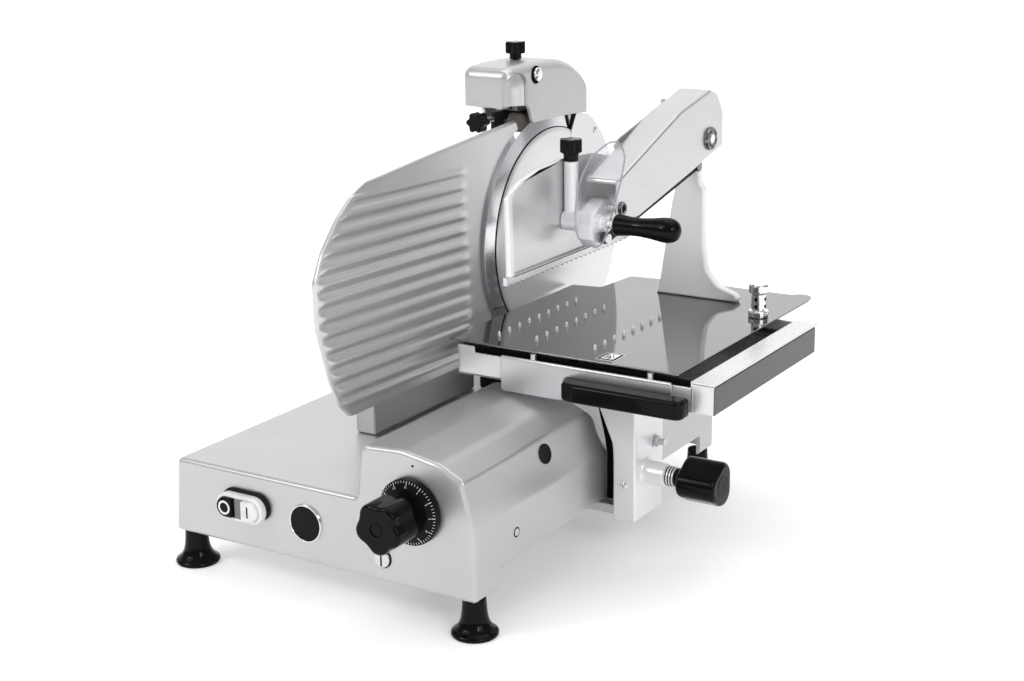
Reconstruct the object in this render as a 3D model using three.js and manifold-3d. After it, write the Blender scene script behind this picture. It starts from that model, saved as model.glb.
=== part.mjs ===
// Vertical butcher's slicer: straight-feed meat slicer with a sliding carriage, a table plate that
// slides towards the blade, a levelling press arm, a ribbed gauge plate and a built-in sharpener.
// Millimetres, +Z up. The machine is drawn with x = 0 on the right wall of the base, y = 0 on the
// front panel and z = 0 under the casting, then centred over the middle of its footprint.

import * as THREE from 'three';
import { mergeVertices } from 'three/addons/utils/BufferGeometryUtils.js';
import Module from 'manifold-3d';

const wasm = await Module();
wasm.setup();

// ---------- driving dimensions ----------

const GAP = 0.3;                                  // clearance between touching pieces
const BASE = { left: -464, right: 0, front: 0, back: 638, deck: 102, wall: 8, draft: 6, corner: 16 };
const HOUSING = { left: -165, back: 316, top: 174 };
const FOOT = { side: 15, end: 21, height: 48, flange: 29, stem: 13.5 };
const BLADE = { y: 531, z: 319, radius: 170, plane: -208 };
const COVER = { radius: 150, proud: 4 };
const GAUGE = { face: -214, thick: 7 };
const DIAL = { x: -85, z: 102, ring: 41, knob: 32 };
const SWITCH = { x: -343, z: 57, half: 39, height: 21, pitch: 36 };
const TABLE = { left: -197.8, right: 136, front: 248, back: 667, top: 234.5, thick: 2.5 };
const TRAY = { left: -181, right: 185, front: 245, back: 558, bottom: 190, top: 229, wall: 3 };
const COLUMN = { left: 21, right: 54, front: 293, back: 371, bottom: 10 };
const KNOB_AXIS = { y: 322, z: 72 };              // clamp knob on the carriage column
const RAIL = { x: -60, z: 48, radius: 10 };
const ARM = { near: 4.8, far: -41, sheet: 1.8 };
const PIVOT = { postTop: [599, 459], postLow: [577, 423.7], armFront: [345.8, 407] };
const HANDLE = { y: 316, z: 393 };
const PRESS = { x: -63.4 };
const SHARPENER = { left: -276, right: -202, front: 414, back: 632 };

const linkFront = [
  PIVOT.armFront[0] + PIVOT.postLow[0] - PIVOT.postTop[0],
  PIVOT.armFront[1] + PIVOT.postLow[1] - PIVOT.postTop[1],
];

// ---------- finishes ----------

const finish = (color, roughness, metalness) =>
  new THREE.MeshStandardMaterial({ color, roughness, metalness });

const CAST = finish(0xc9cbcd, 0.35, 0.9);
const STEEL = finish(0xb9bcbf, 0.28, 1.0);
const MIRROR = finish(0xd5d7d9, 0.08, 1.0);
const CHROME = finish(0xe0e2e4, 0.1, 1.0);
const BLACK = finish(0x0c0c0d, 0.2, 0.0);
const DARK = finish(0x2a2a2c, 0.5, 0.2);
const WHITE = finish(0xeeeeec, 0.35, 0.0);
const RUBBER = finish(0x151515, 0.7, 0.0);
const CLEAR = finish(0xdfe4ea, 0.05, 0.0);
const STONE = finish(0xb9b2a6, 0.9, 0.0);

// ---------- geometry helpers ----------

// Basis matrices that carry a shape's (u, v, depth) onto the machine axes.
const PLANES = {
  yz: new THREE.Matrix4().set(0, 0, 1, 0, 1, 0, 0, 0, 0, 1, 0, 0, 0, 0, 0, 1),
  xz: new THREE.Matrix4().set(1, 0, 0, 0, 0, 0, -1, 0, 0, 1, 0, 0, 0, 0, 0, 1),
  xy: new THREE.Matrix4(),
};

// Keeps positions only, merges shared vertices and turns the faces outwards.
function clean(geometry) {
  let g = geometry.clone();
  g.deleteAttribute('normal');
  g.deleteAttribute('uv');
  g = mergeVertices(g, 1e-3);
  const p = g.attributes.position;
  const index = Array.from(g.index.array);
  const triangles = [];
  let volume = 0;
  for (let i = 0; i < index.length; i += 3) {
    const [a, b, c] = index.slice(i, i + 3);
    if (a === b || b === c || a === c) continue;
    triangles.push(a, b, c);
    const va = new THREE.Vector3().fromBufferAttribute(p, a);
    const vb = new THREE.Vector3().fromBufferAttribute(p, b);
    const vc = new THREE.Vector3().fromBufferAttribute(p, c);
    volume += va.dot(vb.cross(vc));
  }
  if (volume < 0) triangles.reverse();
  g.setIndex(triangles);
  return g;
}

function toManifold(geometry) {
  const g = clean(geometry);
  const vertProperties = new Float32Array(g.attributes.position.array);
  const triVerts = new Uint32Array(g.index.array);
  return new wasm.Manifold(new wasm.Mesh({ numProp: 3, vertProperties, triVerts }));
}

function fromManifold(manifold) {
  const mesh = manifold.getMesh();
  const g = new THREE.BufferGeometry();
  g.setAttribute('position', new THREE.BufferAttribute(mesh.vertProperties, 3));
  g.setIndex(new THREE.BufferAttribute(mesh.triVerts, 1));
  return g;
}

function join(first, ...others) {
  return fromManifold(others.reduce((m, g) => m.add(toManifold(g)), toManifold(first)));
}

function cut(first, ...others) {
  return fromManifold(others.reduce((m, g) => m.subtract(toManifold(g)), toManifold(first)));
}

function common(first, second) {
  return fromManifold(toManifold(first).intersect(toManifold(second)));
}

function block(x, y, z) {
  const g = new THREE.BoxGeometry(x[1] - x[0], y[1] - y[0], z[1] - z[0]);
  return g.translate((x[0] + x[1]) / 2, (y[0] + y[1]) / 2, (z[0] + z[1]) / 2);
}

function toShape(points) {
  return new THREE.Shape(points.map(([u, v]) => new THREE.Vector2(u, v)));
}

// A closed outline in one of the machine planes, thickened from `from` to `to` along the normal.
function slab(plane, outline, from, to, holes = [], curveSegments = 8) {
  const shape = Array.isArray(outline) ? toShape(outline) : outline;
  shape.holes.push(...holes);
  const g = new THREE.ExtrudeGeometry(shape, { depth: to - from, bevelEnabled: false, curveSegments });
  const start = plane === 'xz' ? -to : from;
  return g.translate(0, 0, start).applyMatrix4(PLANES[plane]);
}

// Turns a profile of [radius, distance along the axis] about a machine axis through `centre`.
function turned(axis, centre, profile, segments = 24) {
  const g = new THREE.LatheGeometry(profile.map(([r, a]) => new THREE.Vector2(r, a)), segments);
  if (axis === 'x') g.rotateZ(-Math.PI / 2).translate(0, centre[0], centre[1]);
  if (axis === 'y') g.translate(centre[0], 0, centre[1]);
  if (axis === 'z') g.rotateX(Math.PI / 2).translate(centre[0], centre[1], 0);
  return g;
}

function rod(axis, centre, radius, from, to, segments = 20) {
  return turned(axis, centre, [[0, from], [radius, from], [radius, to], [0, to]], segments);
}

function sleeve(axis, centre, inner, outer, from, to, segments = 24) {
  const profile = [[inner, from], [outer, from], [outer, to], [inner, to], [inner, from]];
  return turned(axis, centre, profile, segments);
}

function circleHole(u, v, radius) {
  const path = new THREE.Path();
  path.absarc(u, v, radius, 0, Math.PI * 2, true);
  return path;
}

function roundedShape(u0, u1, v0, v1, r) {
  const s = new THREE.Shape();
  s.absarc(u1 - r, v0 + r, r, -Math.PI / 2, 0, false);
  s.absarc(u1 - r, v1 - r, r, 0, Math.PI / 2, false);
  s.absarc(u0 + r, v1 - r, r, Math.PI / 2, Math.PI, false);
  s.absarc(u0 + r, v0 + r, r, Math.PI, Math.PI * 1.5, false);
  return s;
}

// The belt line round two pulleys: arcs joined by the outer tangents.
function loopShape(a, ra, b, rb) {
  const angle = Math.atan2(b[1] - a[1], b[0] - a[0]);
  const lean = Math.acos((ra - rb) / Math.hypot(b[0] - a[0], b[1] - a[1]));
  const s = new THREE.Shape();
  s.absarc(a[0], a[1], ra, angle + lean, angle - lean + Math.PI * 2, false);
  s.absarc(b[0], b[1], rb, angle - lean, angle + lean, false);
  return s;
}

// A lobed clamp knob: a scalloped outline thickened along its axis, with a hub on the back.
function lobedOutline(radius, lobes, depth) {
  const points = [];
  const steps = lobes * 6;
  for (let i = 0; i < steps; i += 1) {
    const t = (i / steps) * Math.PI * 2;
    const r = radius - depth * (0.5 + 0.5 * Math.cos(t * lobes + Math.PI));
    points.push([r * Math.cos(t), r * Math.sin(t)]);
  }
  return points;
}

function lobedKnob(plane, centre, radius, lobes, depth, from, to) {
  const outline = lobedOutline(radius, lobes, depth).map(([u, v]) => [u + centre[0], v + centre[1]]);
  return slab(plane, outline, from, to);
}

// ---------- assembly ----------

const machine = new THREE.Group();

function add(name, geometry, material) {
  const mesh = new THREE.Mesh(clean(geometry), material);
  mesh.name = name;
  machine.add(mesh);
  return mesh;
}

// ---------- base ----------

const housingOutline = [
  [BASE.left, 0], [BASE.left + BASE.draft, 95], [BASE.left + BASE.draft + 7, BASE.deck],
  [HOUSING.left - 3, BASE.deck],
  [-162, 137], [-158, 157], [-150, 167], [-137, 171], [-100, HOUSING.top], [-72, 172], [-45, 163],
  [-28, 155], [-13, 148], [-8, 129], [0, 100], [0, 0],
];

const housingHollow = [
  [-156, 90], [-153, 137], [-148, 154], [-136, 162], [-100, 165.5], [-74, 163.5], [-50, 156],
  [-24, 143], [-17, 127], [-8.5, 98], [-8.5, 90],
];

const beltSlot = { x: [-306, -280], y: [486, 578] };
const shutWall = -128;                             // partition between the motor and the rail bay

function baseCasting() {
  const { left, right, front, back, deck, wall, draft, corner } = BASE;
  const plan = slab('xy', roundedShape(left, right, front, back, corner), 0, HOUSING.top + 1);
  const front3 = slab('xz', housingOutline, front, HOUSING.back);
  const section = [[left, 0], [left + draft, 95], [left + draft + 3, deck], [right, deck - 2], [right, 0]];
  const rear = slab('xz', section, front + 20, back);
  const solid = common(join(front3, rear), plan);
  const shell = cut(
    solid,
    block([left + draft + wall, shutWall - 6], [front + wall, back - wall], [-1, deck - 7]),
    block([shutWall, right - wall], [front + wall, back - wall], [-1, deck - 7]),
    slab('xz', housingHollow, front + wall, HOUSING.back - wall),
    block([right - wall - 1, right + 1], [50, 593], [-1, 29]),
    block(beltSlot.x, beltSlot.y, [deck - 20, deck + 1]),
    block([-322, -276], [240, 286], [deck - 20, deck + 1]),
    block([shutWall - 7, shutWall + 1], [236, 290], [70, 90]),
    rod('y', [DIAL.x, DIAL.z], 8, front - 1, front + wall + 1),
    block([SWITCH.x - 27, SWITCH.x + 27], [front - 1, front + wall + 1], [SWITCH.z - 13, SWITCH.z + 13]),
    rod('y', [-400, 45], 8.4, back - wall - 1, back + 1),
    rod('x', [174.5, 130], 10.6, -22, 4),
  );
  const bosses = footCentres().map(([, x, y]) => common(rod('z', [x, y], 17, 0.001, deck - 4), solid));
  const ledge = block([shutWall - 3, shutWall + 22], [front + wall - 1, back - wall + 1], [59, 67]);
  const studs = footCentres().map(([, x, y]) => rod('z', [x, y], 5.5, -1, 31, 16));
  return cut(join(shell, ...bosses, ledge), ...studs);
}

function footCentres() {
  const { left, right, front, back } = BASE;
  const { side, end } = FOOT;
  return [
    ['foot_front_right', right - side, front + end],
    ['foot_front_left', left + side, front + end],
    ['foot_rear_right', right - side, back - end],
    ['foot_rear_left', left + side, back - end],
  ];
}

function footProfile() {
  const h = FOOT.height;
  return [
    [0, -h], [FOOT.flange, -h], [FOOT.flange, -h + 5], [25, -h + 8], [18, -h + 16], [14.5, -h + 30],
    [FOOT.stem, -GAP], [5, -GAP], [5, 28], [0, 28],
  ];
}

add('base_casting', baseCasting(), CAST);
for (const [name, x, y] of footCentres()) add(name, turned('z', [x, y], footProfile(), 20), BLACK);

function bottomCover() {
  const x = [BASE.left + BASE.draft + BASE.wall + 0.4, shutWall - 6.4];
  const y = [BASE.front + BASE.wall + 0.4, BASE.back - BASE.wall - 0.4];
  const clear = [BASE.left, BASE.left + FOOT.side + 17.6];
  const room = FOOT.end + 17.6;
  const corners = [
    block(clear, [BASE.front, BASE.front + room], [0, 12]),
    block(clear, [BASE.back - room, BASE.back], [0, 12]),
  ];
  return cut(block(x, y, [4, 6]), ...corners);
}

add('bottom_cover', bottomCover(), STEEL);

function cableGland() {
  const y = BASE.back;
  return turned('y', [-400, 45], [
    [4, y - 14], [8, y - 14], [8, y + GAP], [12, y + GAP], [12, y + 7], [9, y + 9], [7.5, y + 24],
    [4, y + 24], [4, y - 14],
  ], 24);
}

add('cable_gland', cableGland(), BLACK);

// ---------- push switch, badge and thickness dial on the front panel ----------

const buttonCentres = [['button_off', SWITCH.x - SWITCH.pitch / 2], ['button_on', SWITCH.x + SWITCH.pitch / 2]];

function switchBezel() {
  const { x, z, half, height } = SWITCH;
  const plate = slab('xz', roundedShape(x - half, x + half, z - height, z + height, height - 1), -15, -GAP);
  return cut(plate, ...buttonCentres.map(([, bx]) => rod('y', [bx, z], 15, -16, 0)));
}

add('switch_bezel', switchBezel(), WHITE);
add('switch_box', block([SWITCH.x - 26, SWITCH.x + 26], [1, 48], [SWITCH.z - 12, SWITCH.z + 12]), DARK);
for (const [name, x] of buttonCentres) {
  const profile = [[0, -19], [12.5, -19], [14.3, -17], [14.3, -3.2], [0, -3.2]];
  add(name, turned('y', [x, SWITCH.z], profile, 28), name === 'button_off' ? BLACK : WHITE);
}
add('badge_plate', turned('y', [-246, 53], [[0, -3], [23, -3], [25, -1.6], [25, -GAP], [0, -GAP]]), BLACK);
add('dial_lock_screw', turned('y', [-131, 31.5], [[0, -5], [9, -5], [10.5, -3.6], [10.5, -GAP], [0, -GAP]], 24), CHROME);

function dialRing() {
  return turned('y', [DIAL.x, DIAL.z], [
    [8, -14], [33, -14], [DIAL.ring, -9], [DIAL.ring, -1], [8, -1], [8, -14],
  ], 32);
}

function dialKnob() {
  const grip = lobedKnob('xz', [DIAL.x, DIAL.z], DIAL.knob, 6, 4, -72, -30);
  const skirt = rod('y', [DIAL.x, DIAL.z], 26, -31, -14 - GAP, 32);
  return cut(join(grip, skirt), rod('y', [DIAL.x, DIAL.z], 7.3, -60, -10));
}

// The dial's shaft ends in a scroll disc that drives the gauge link.
function dialShaft() {
  const shaft = rod('y', [DIAL.x, DIAL.z], 7, -58, 246);
  const scroll = rod('y', [DIAL.x, DIAL.z], 26, 244, 254, 32);
  return join(shaft, scroll);
}

add('dial_ring', dialRing(), BLACK);
add('dial_knob', dialKnob(), BLACK);
add('dial_shaft', dialShaft(), STEEL);

// ---------- gauge plate ----------

const gaugeCorner = {
  topRight: [451, 489], topMid: [262, 475], topLeft: [112, 461], shoulder: [80, 448], cheek: [16, 389],
  nose: [2, 358], side: [3, 302], chin: [24, 231], jaw: [42, 194], bottom: [60, 178],
};

function gaugeOutline(grow = 0) {
  const c = gaugeCorner;
  const s = new THREE.Shape();
  const reach = BLADE.radius + 4 + grow * 6;
  const topAngle = Math.atan2(c.topRight[1] - BLADE.z, c.topRight[0] - BLADE.y);
  const lowAngle = Math.asin((c.bottom[1] - BLADE.z) / reach);
  s.moveTo(c.topRight[0], c.topRight[1]);
  for (const key of ['topMid', 'topLeft', 'shoulder', 'cheek', 'nose', 'side', 'chin', 'jaw', 'bottom']) {
    s.lineTo(c[key][0], c[key][1]);
  }
  s.absarc(BLADE.y, BLADE.z, reach, Math.PI - lowAngle, topAngle, true);
  return s;
}

function gaugePlate() {
  const ribHeights = Array.from({ length: 12 }, (_, i) => 216 + i * 20);
  const back = GAUGE.face - GAUGE.thick;
  const plate = slab('yz', gaugeOutline(), back, GAUGE.face - 3, [], 10);
  const bars = ribHeights.map((z) => block([GAUGE.face - 3.5, GAUGE.face], [-10, 332], [z, z + 9]));
  const inner = slab('yz', gaugeOutline(), back, GAUGE.face + 1, [], 10);
  return join(plate, common(join(...bars), inner));
}

function gaugeBracket() {
  const foot = block([-312, -280], [192, 432], [BASE.deck + 0.4, 196]);
  const shelf = block([-282, -230], [192, 340], [180, 192]);
  const web = block([-231, GAUGE.face - GAUGE.thick - GAP], [192, 340], [180, 262]);
  const stem = block([-301, -287], [252, 274], [30, BASE.deck + 2]);
  const link = block([-290, -60], [256, 270], [73, 86]);
  const bracket = join(foot, shelf, web, stem, link);
  return cut(bracket, rod('x', [263, 52], 8.4, -330, -250, 20));
}

add('gauge_plate', gaugePlate(), CAST);
add('gauge_bracket', gaugeBracket(), CAST);
add('gauge_rail', rod('x', [263, 52], 8, BASE.left + BASE.draft + BASE.wall + GAP, shutWall - 6 - GAP, 20), STEEL);

// ---------- blade, its support and drive ----------

const bladeAxis = [BLADE.y, BLADE.z];
const motorAxis = [BLADE.y + 1, 51];
const support = { front: -226, back: -274 };
const pulleyX = [-301, -285];

function bladeDisc() {
  const p = BLADE.plane;
  const r = BLADE.radius;
  return turned('x', bladeAxis, [
    [5.6, p - 5], [r - 1, p - 5], [r, p - 4.4], [r - 20, p], [r - 24, p - 2.5], [5.6, p - 2.5], [5.6, p - 5],
  ], 60);
}

function bladeSupport() {
  const outline = new THREE.Shape();
  outline.moveTo(444, BASE.deck + GAP);
  outline.lineTo(612, BASE.deck + GAP);
  outline.lineTo(590, 250);
  outline.lineTo(586, 470);
  outline.lineTo(530, 470);
  outline.lineTo(524, 372);
  outline.absarc(BLADE.y, BLADE.z, 50, Math.PI * 0.55, Math.PI * 1.15, false);
  outline.lineTo(470, 230);
  const casting = slab('yz', outline, support.back, support.front, [], 6);
  const boss = rod('x', bladeAxis, 50, support.back, support.front, 36);
  const neck = block([-262, support.front], [540, 584], [468, 508]);
  const mount = block([-262, -226], [470, 606], [498, 508]);
  const bore = rod('x', bladeAxis, 26, support.back - 1, support.front + 1, 36);
  return cut(join(casting, boss, neck, mount), bore);
}

function bladeShaft() {
  const p = BLADE.plane - 5 - GAP;
  return turned('x', bladeAxis, [
    [5.2, -318], [12.2, -318], [12.2, -222], [34, -222], [34, p], [5.2, p], [5.2, -318],
  ], 32);
}

function beltLoop() {
  const outer = loopShape(bladeAxis, 34.3 + 3.5, motorAxis, 18.3 + 3.5);
  const inner = new THREE.Path(loopShape(bladeAxis, 34.3, motorAxis, 18.3).getPoints(10).reverse());
  return slab('yz', outer, pulleyX[0] + 2, pulleyX[1] - 2, [inner], 10);
}

function beltCover() {
  const top = bladeAxis;
  const low = [BLADE.y, 60];
  const outer = slab('yz', loopShape(top, 47, low, 47), -330, support.back - GAP, [], 10);
  const inner = slab('yz', loopShape(top, 43.5, low, 43.5), -327, -270, [], 10);
  const deckCut = block([-340, -260], [400, 660], [-10, BASE.deck + GAP]);
  return cut(outer, inner, deckCut, rod('x', bladeAxis, 10, -340, -320));
}

function driveMotor() {
  const body = rod('x', motorAxis, 38, -270, -150, 32);
  const mounts = block([-262, -158], [motorAxis[0] - 44, motorAxis[0] + 44], [12, 22]);
  return join(body, mounts);
}

add('blade_support', bladeSupport(), CAST);
add('bearing_cartridge', sleeve('x', bladeAxis, 12.5, 25.7, support.back + 4, support.front - 4), STEEL);
add('blade_shaft', bladeShaft(), STEEL);
add('blade_disc', bladeDisc(), STEEL);
add('blade_pulley', sleeve('x', bladeAxis, 12.5, 34, pulleyX[0], pulleyX[1]), CAST);
add('motor_pulley', join(rod('x', motorAxis, 18, pulleyX[0], pulleyX[1]), rod('x', motorAxis, 7, -286, -270 - GAP)), CAST);
add('drive_motor', driveMotor(), DARK);
add('drive_belt', beltLoop(), RUBBER);
add('belt_cover', beltCover(), CAST);

// Fixed cover in front of the blade, drawn tight by a rod through the hollow shaft.
function bladeCover() {
  const p = BLADE.plane;
  const face = p + COVER.proud;
  return turned('x', bladeAxis, [
    [0, p - 2], [COVER.radius - 6, p - 2], [COVER.radius - 4, p + 0.6], [COVER.radius, p + 0.6],
    [COVER.radius, p + 1.6], [COVER.radius - 5, face - 1.4], [60, face], [0, face],
  ], 48);
}

function coverTie() {
  const shaft = rod('x', bladeAxis, 4.8, -352, BLADE.plane - 2 - GAP, 20);
  const hub = rod('x', bladeAxis, 9, -346, -331, 24);
  return join(shaft, hub, lobedKnob('yz', bladeAxis, 20, 6, 4, -362, -344));
}

// Ring guard that wraps the rear of the blade, from the sharpener down to the table.
function bladeGuard() {
  const from = -Math.PI * 0.31;
  const to = Math.PI * 0.31;
  const sector = (inner, outer) => {
    const s = new THREE.Shape();
    s.absarc(BLADE.y, BLADE.z, outer, from, to, false);
    s.absarc(BLADE.y, BLADE.z, inner, to, from, true);
    return s;
  };
  const p = BLADE.plane;
  const face = slab('yz', sector(COVER.radius + 2.5, 186), p + 0.5, p + 3.5, [], 20);
  const rim = slab('yz', sector(174, 186), -246, p + 1, [], 20);
  const tab = block([-246, -226], [598.7, 662], [196, 214]);
  return join(face, rim, tab);
}

add('blade_cover', bladeCover(), CAST);
add('cover_tie_knob', coverTie(), BLACK);
add('blade_guard', bladeGuard(), CAST);

// ---------- sharpener ----------

const topKnob = { x: -246, y: 500 };
const sideKnob = { x: -250, z: 490 };

function sharpenerCover() {
  const { left, right, front, back } = SHARPENER;
  const side = [
    [front, 511], [front + 6, 552], [front + 16, 562], [front + 60, 567], [570, 566], [598, 556],
    [622, 530], [back, 506], [back - 4, 479], [600, 484], [560, 494], [500, 494], [474, 482], [464, 509],
  ];
  const inner = [
    [front + 5, 500], [front + 11, 550], [front + 18, 557], [front + 60, 562], [568, 561], [595, 551],
    [617, 528], [626, 508], [626, 400], [front + 5, 400],
  ];
  const shell = cut(
    slab('yz', side, left, right),
    slab('yz', inner, left + 5, right - 4),
  );
  const corner = [[right - 26, front - 1], [right + 1, front - 1], [right + 1, front + 40]];
  const chamfered = cut(shell, slab('xy', corner, 440, 600));
  return cut(chamfered, rod('z', [topKnob.x, topKnob.y], 5.2, 550, 575));
}

// Two stones hang from a small carrier that the side knob feeds towards the blade.
const stones = [
  { name: 'grinding_stone', at: [471, 483], radius: 13, width: 18 },
  { name: 'honing_stone', at: [505, 483], radius: 12, width: 12 },
];
const carrierX = [-253, -247];
const stoneFace = -218;

function stoneBody({ at, radius, width }) {
  return turned('x', at, [
    [0, carrierX[1] + GAP], [4, carrierX[1] + GAP], [4, stoneFace - width], [radius, stoneFace - width],
    [radius, stoneFace - 2], [radius - 2, stoneFace], [0, stoneFace],
  ], 28);
}

function sideKnobBody() {
  const stem = rod('y', [sideKnob.x, sideKnob.z], 4, 410, 444 - GAP, 16);
  return join(stem, lobedKnob('xz', [sideKnob.x, sideKnob.z], 12.5, 6, 2.5, 394, 412));
}

function topKnobBody() {
  const at = [topKnob.x, topKnob.y];
  const stem = rod('z', at, 4.8, 508 + GAP, 578, 16);
  const collar = rod('z', at, 8, 567.6, 575, 20);
  return join(stem, collar, lobedKnob('xy', at, 13, 6, 2.5, 574, 590));
}

add('sharpener_cover', sharpenerCover(), CAST);
add('stone_carrier', block(carrierX, [444, 532], [470, 498 - GAP]), DARK);
for (const stone of stones) add(stone.name, stoneBody(stone), STONE);
add('sharpener_side_knob', sideKnobBody(), BLACK);
add('sharpener_top_knob', topKnobBody(), BLACK);

// ---------- carriage ----------

const railAxis = [RAIL.x, RAIL.z];
const rodRadius = 6.5;
const trayRods = { front: 262, rear: 541, z: 213 };

function carriageColumn() {
  const { left, right, front, back, bottom } = COLUMN;
  const top = TRAY.bottom - GAP;
  const face = [
    [left, bottom], [right, bottom], [right, top], [-4, top], [-4, 168], [3, 150], [11, 134], [18, 118],
    [left, 100],
  ];
  const column = slab('xz', face, front, back);
  const axis = [KNOB_AXIS.y, KNOB_AXIS.z];
  const stub = turned('x', axis, [
    [0, right - 5], [17, right - 5], [17, right + 12], [15.5, right + 12], [15.5, 92], [12, 92], [12, 98],
    [0, 98],
  ]);
  return join(column, stub);
}

function carriageArm() {
  const y = [COLUMN.front + 7, COLUMN.back - 7];
  const tongue = block([RAIL.x - 24, COLUMN.left - GAP], y, [13, 26]);
  const shoe = block([RAIL.x - 24, RAIL.x + 24], y, [13, 66]);
  const stub = rod('x', [332, RAIL.z], 5, -106, RAIL.x - 20, 16);
  return cut(join(tongue, shoe, stub), rod('y', railAxis, RAIL.radius + GAP, 250, 420));
}

function trayFrame() {
  const { left, right, front, back, bottom, top, wall } = TRAY;
  const well = right - 34;
  const y = [front + wall, back - wall];
  return cut(
    block([left, right], [front, back], [bottom, top]),
    block([left + wall, well - wall], y, [bottom + wall, top + 1]),
    block([well, right - wall], y, [bottom + wall, top - wall]),
    block([well + 6, right - 9], [front + 20, back - 20], [bottom - 1, bottom + wall + 1]),
    block([-156, well - 1], [front - 1, front + wall + 1], [221, top + 1]),
  );
}

function apronBracket() {
  const outline = [[-113, 178], [-24, 178], [-12, 190], [40, 192], [130, 198], [130, 224], [-113, 224]];
  const sheet = slab('xz', outline, TRAY.front - 5, TRAY.front - GAP);
  const hook = block([-113, 130], [TRAY.front - 5, TRAY.front + 5], [221 + GAP, 224]);
  const pads = [-67, 99].map((x) => rod('z', [x, TRAY.front + 0.5], 4, 223, 231.6, 16));
  return join(sheet, hook, ...pads);
}

function trayHandle() {
  const y0 = TRAY.front - 33;
  const y1 = TRAY.front - 5 - GAP;
  const s = new THREE.Shape();
  s.moveTo(-20, y1);
  s.lineTo(-11, y0 + 8);
  s.lineTo(3, y0);
  s.absarc(144, y0 + 12, 12, -Math.PI / 2, 0, false);
  s.absarc(144, y1 - 12, 12, 0, Math.PI / 2, false);
  return slab('xy', s, 187, 211, [], 6);
}

function columnKnob() {
  const axis = [KNOB_AXIS.y, KNOB_AXIS.z];
  return join(rod('x', axis, 7, 98 + GAP, 124), lobedKnob('yz', axis, 29, 3, 6, 118, 163));
}

add('carriage_rail', rod('y', railAxis, RAIL.radius, BASE.wall + GAP, BASE.back - BASE.wall - GAP), STEEL);
add('carriage_column', carriageColumn(), CAST);
add('carriage_arm', carriageArm(), CAST);
add('track_roller', rod('x', [332, RAIL.z], 10, -117, -106 - GAP, 28), STEEL);
add('tray_frame', trayFrame(), STEEL);
add('apron_bracket', apronBracket(), STEEL);
add('tray_handle', trayHandle(), BLACK);
for (const side of ['front', 'rear']) {
  const x = [TRAY.left + TRAY.wall + GAP, TRAY.right - 34 - TRAY.wall - GAP];
  add(`tray_rod_${side}`, rod('x', [trayRods[side], trayRods.z], rodRadius, x[0], x[1], 20), STEEL);
}
add('column_knob', columnKnob(), BLACK);

// ---------- table plate and post ----------

const lockKnobAt = [110, 538];

function tablePlate() {
  const { left, right, front, back, top, thick } = TABLE;
  const outline = [
    [left, front], [right, front], [right, 650], [right - 3, 668], [right - 11, 677], [right - 24, 677],
    [right - 32, 669], [right - 42, back], [-42, back + 2], [-148, back - 10], [-154, 578], [left, 571],
  ];
  const plate = slab('xy', outline, top - thick, top);
  const rows = [
    { x: -144, from: 287, count: 9, pitch: 25 },
    { x: -90, from: 292, count: 8, pitch: 25.5 },
    { x: -4, from: 292, count: 8, pitch: 25.5 },
  ];
  const teeth = [];
  for (const row of rows) {
    for (let i = 0; i < row.count; i += 1) {
      const y = row.from + i * row.pitch;
      teeth.push(block([row.x - 2, row.x + 2], [y - 5, y + 5], [top - 0.5, top + 2.5]));
    }
  }
  const recess = block([16, 42], [258, 288], [top - 0.8, top + 1]);
  const latch = rod('z', [29, 274], 4, top - 1.5, top + 3, 16);
  return join(cut(plate, recess), ...teeth, latch);
}

function plateSlider(y) {
  const body = block([-125, -17], [y - 10, y + 10], [trayRods.z - 9, TABLE.top - TABLE.thick - GAP]);
  return cut(body, rod('x', [y, trayRods.z], rodRadius + GAP, -130, 0, 20));
}

function lockKnob() {
  const z = TABLE.top + GAP;
  return turned('z', lockKnobAt, [
    [0, z], [13.5, z], [13.5, z + 8], [10, z + 9], [10, z + 33], [13, z + 34], [13, z + 46], [0, z + 46],
  ], 28);
}

function armPost() {
  const foot = TABLE.top + GAP;
  const y = [PIVOT.postTop[0] - 11, PIVOT.postTop[0] + 13];
  const outline = [
    [-83, foot], [52, foot], [56, 240], [53, 246], [30, 252], [14, 262], [4, 280], [-1, 310], [-4, 372],
    [-6, 398], [-14, 410], [-14, 459], [-34, 459], [-34, 410], [-50, 394], [-57, 374], [-66, 300], [-76, 244],
  ];
  const body = slab('xz', outline, y[0], y[1]);
  const neck = [-34, -14];
  const eye = rod('x', PIVOT.postTop, 13, neck[0], neck[1], 28);
  const lug = join(
    rod('x', PIVOT.postLow, 8, neck[0], neck[1], 20),
    block(neck, [PIVOT.postLow[0], y[0] + 2], [416, 432]),
  );
  const pinTop = rod('x', PIVOT.postTop, 6, ARM.far - 3, ARM.near + 2, 20);
  const capTop = rod('x', PIVOT.postTop, 13.5, ARM.near + GAP, ARM.near + 3.5, 28);
  const pinLow = rod('x', PIVOT.postLow, 4, -15, -3, 16);
  const capLow = rod('x', PIVOT.postLow, 6.5, -3.7, -1, 20);
  return join(body, eye, lug, pinTop, capTop, pinLow, capLow);
}

add('table_plate', tablePlate(), MIRROR);
for (const side of ['front', 'rear']) add(`plate_slider_${side}`, plateSlider(trayRods[side]), BLACK);
add('table_lock_knob', lockKnob(), CHROME);
add('arm_post', armPost(), CAST);

// ---------- press arm ----------

const armOutline = [
  [333, 446], [346, 447], [509, 507], [544, 514.4], [600, 526], [622, 518], [641, 492], [643, 446],
  [638, 442.6], [583, 431], [555, 423.6], [389, 387.3], [352, 391], [336, 396], [331, 404],
];

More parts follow.
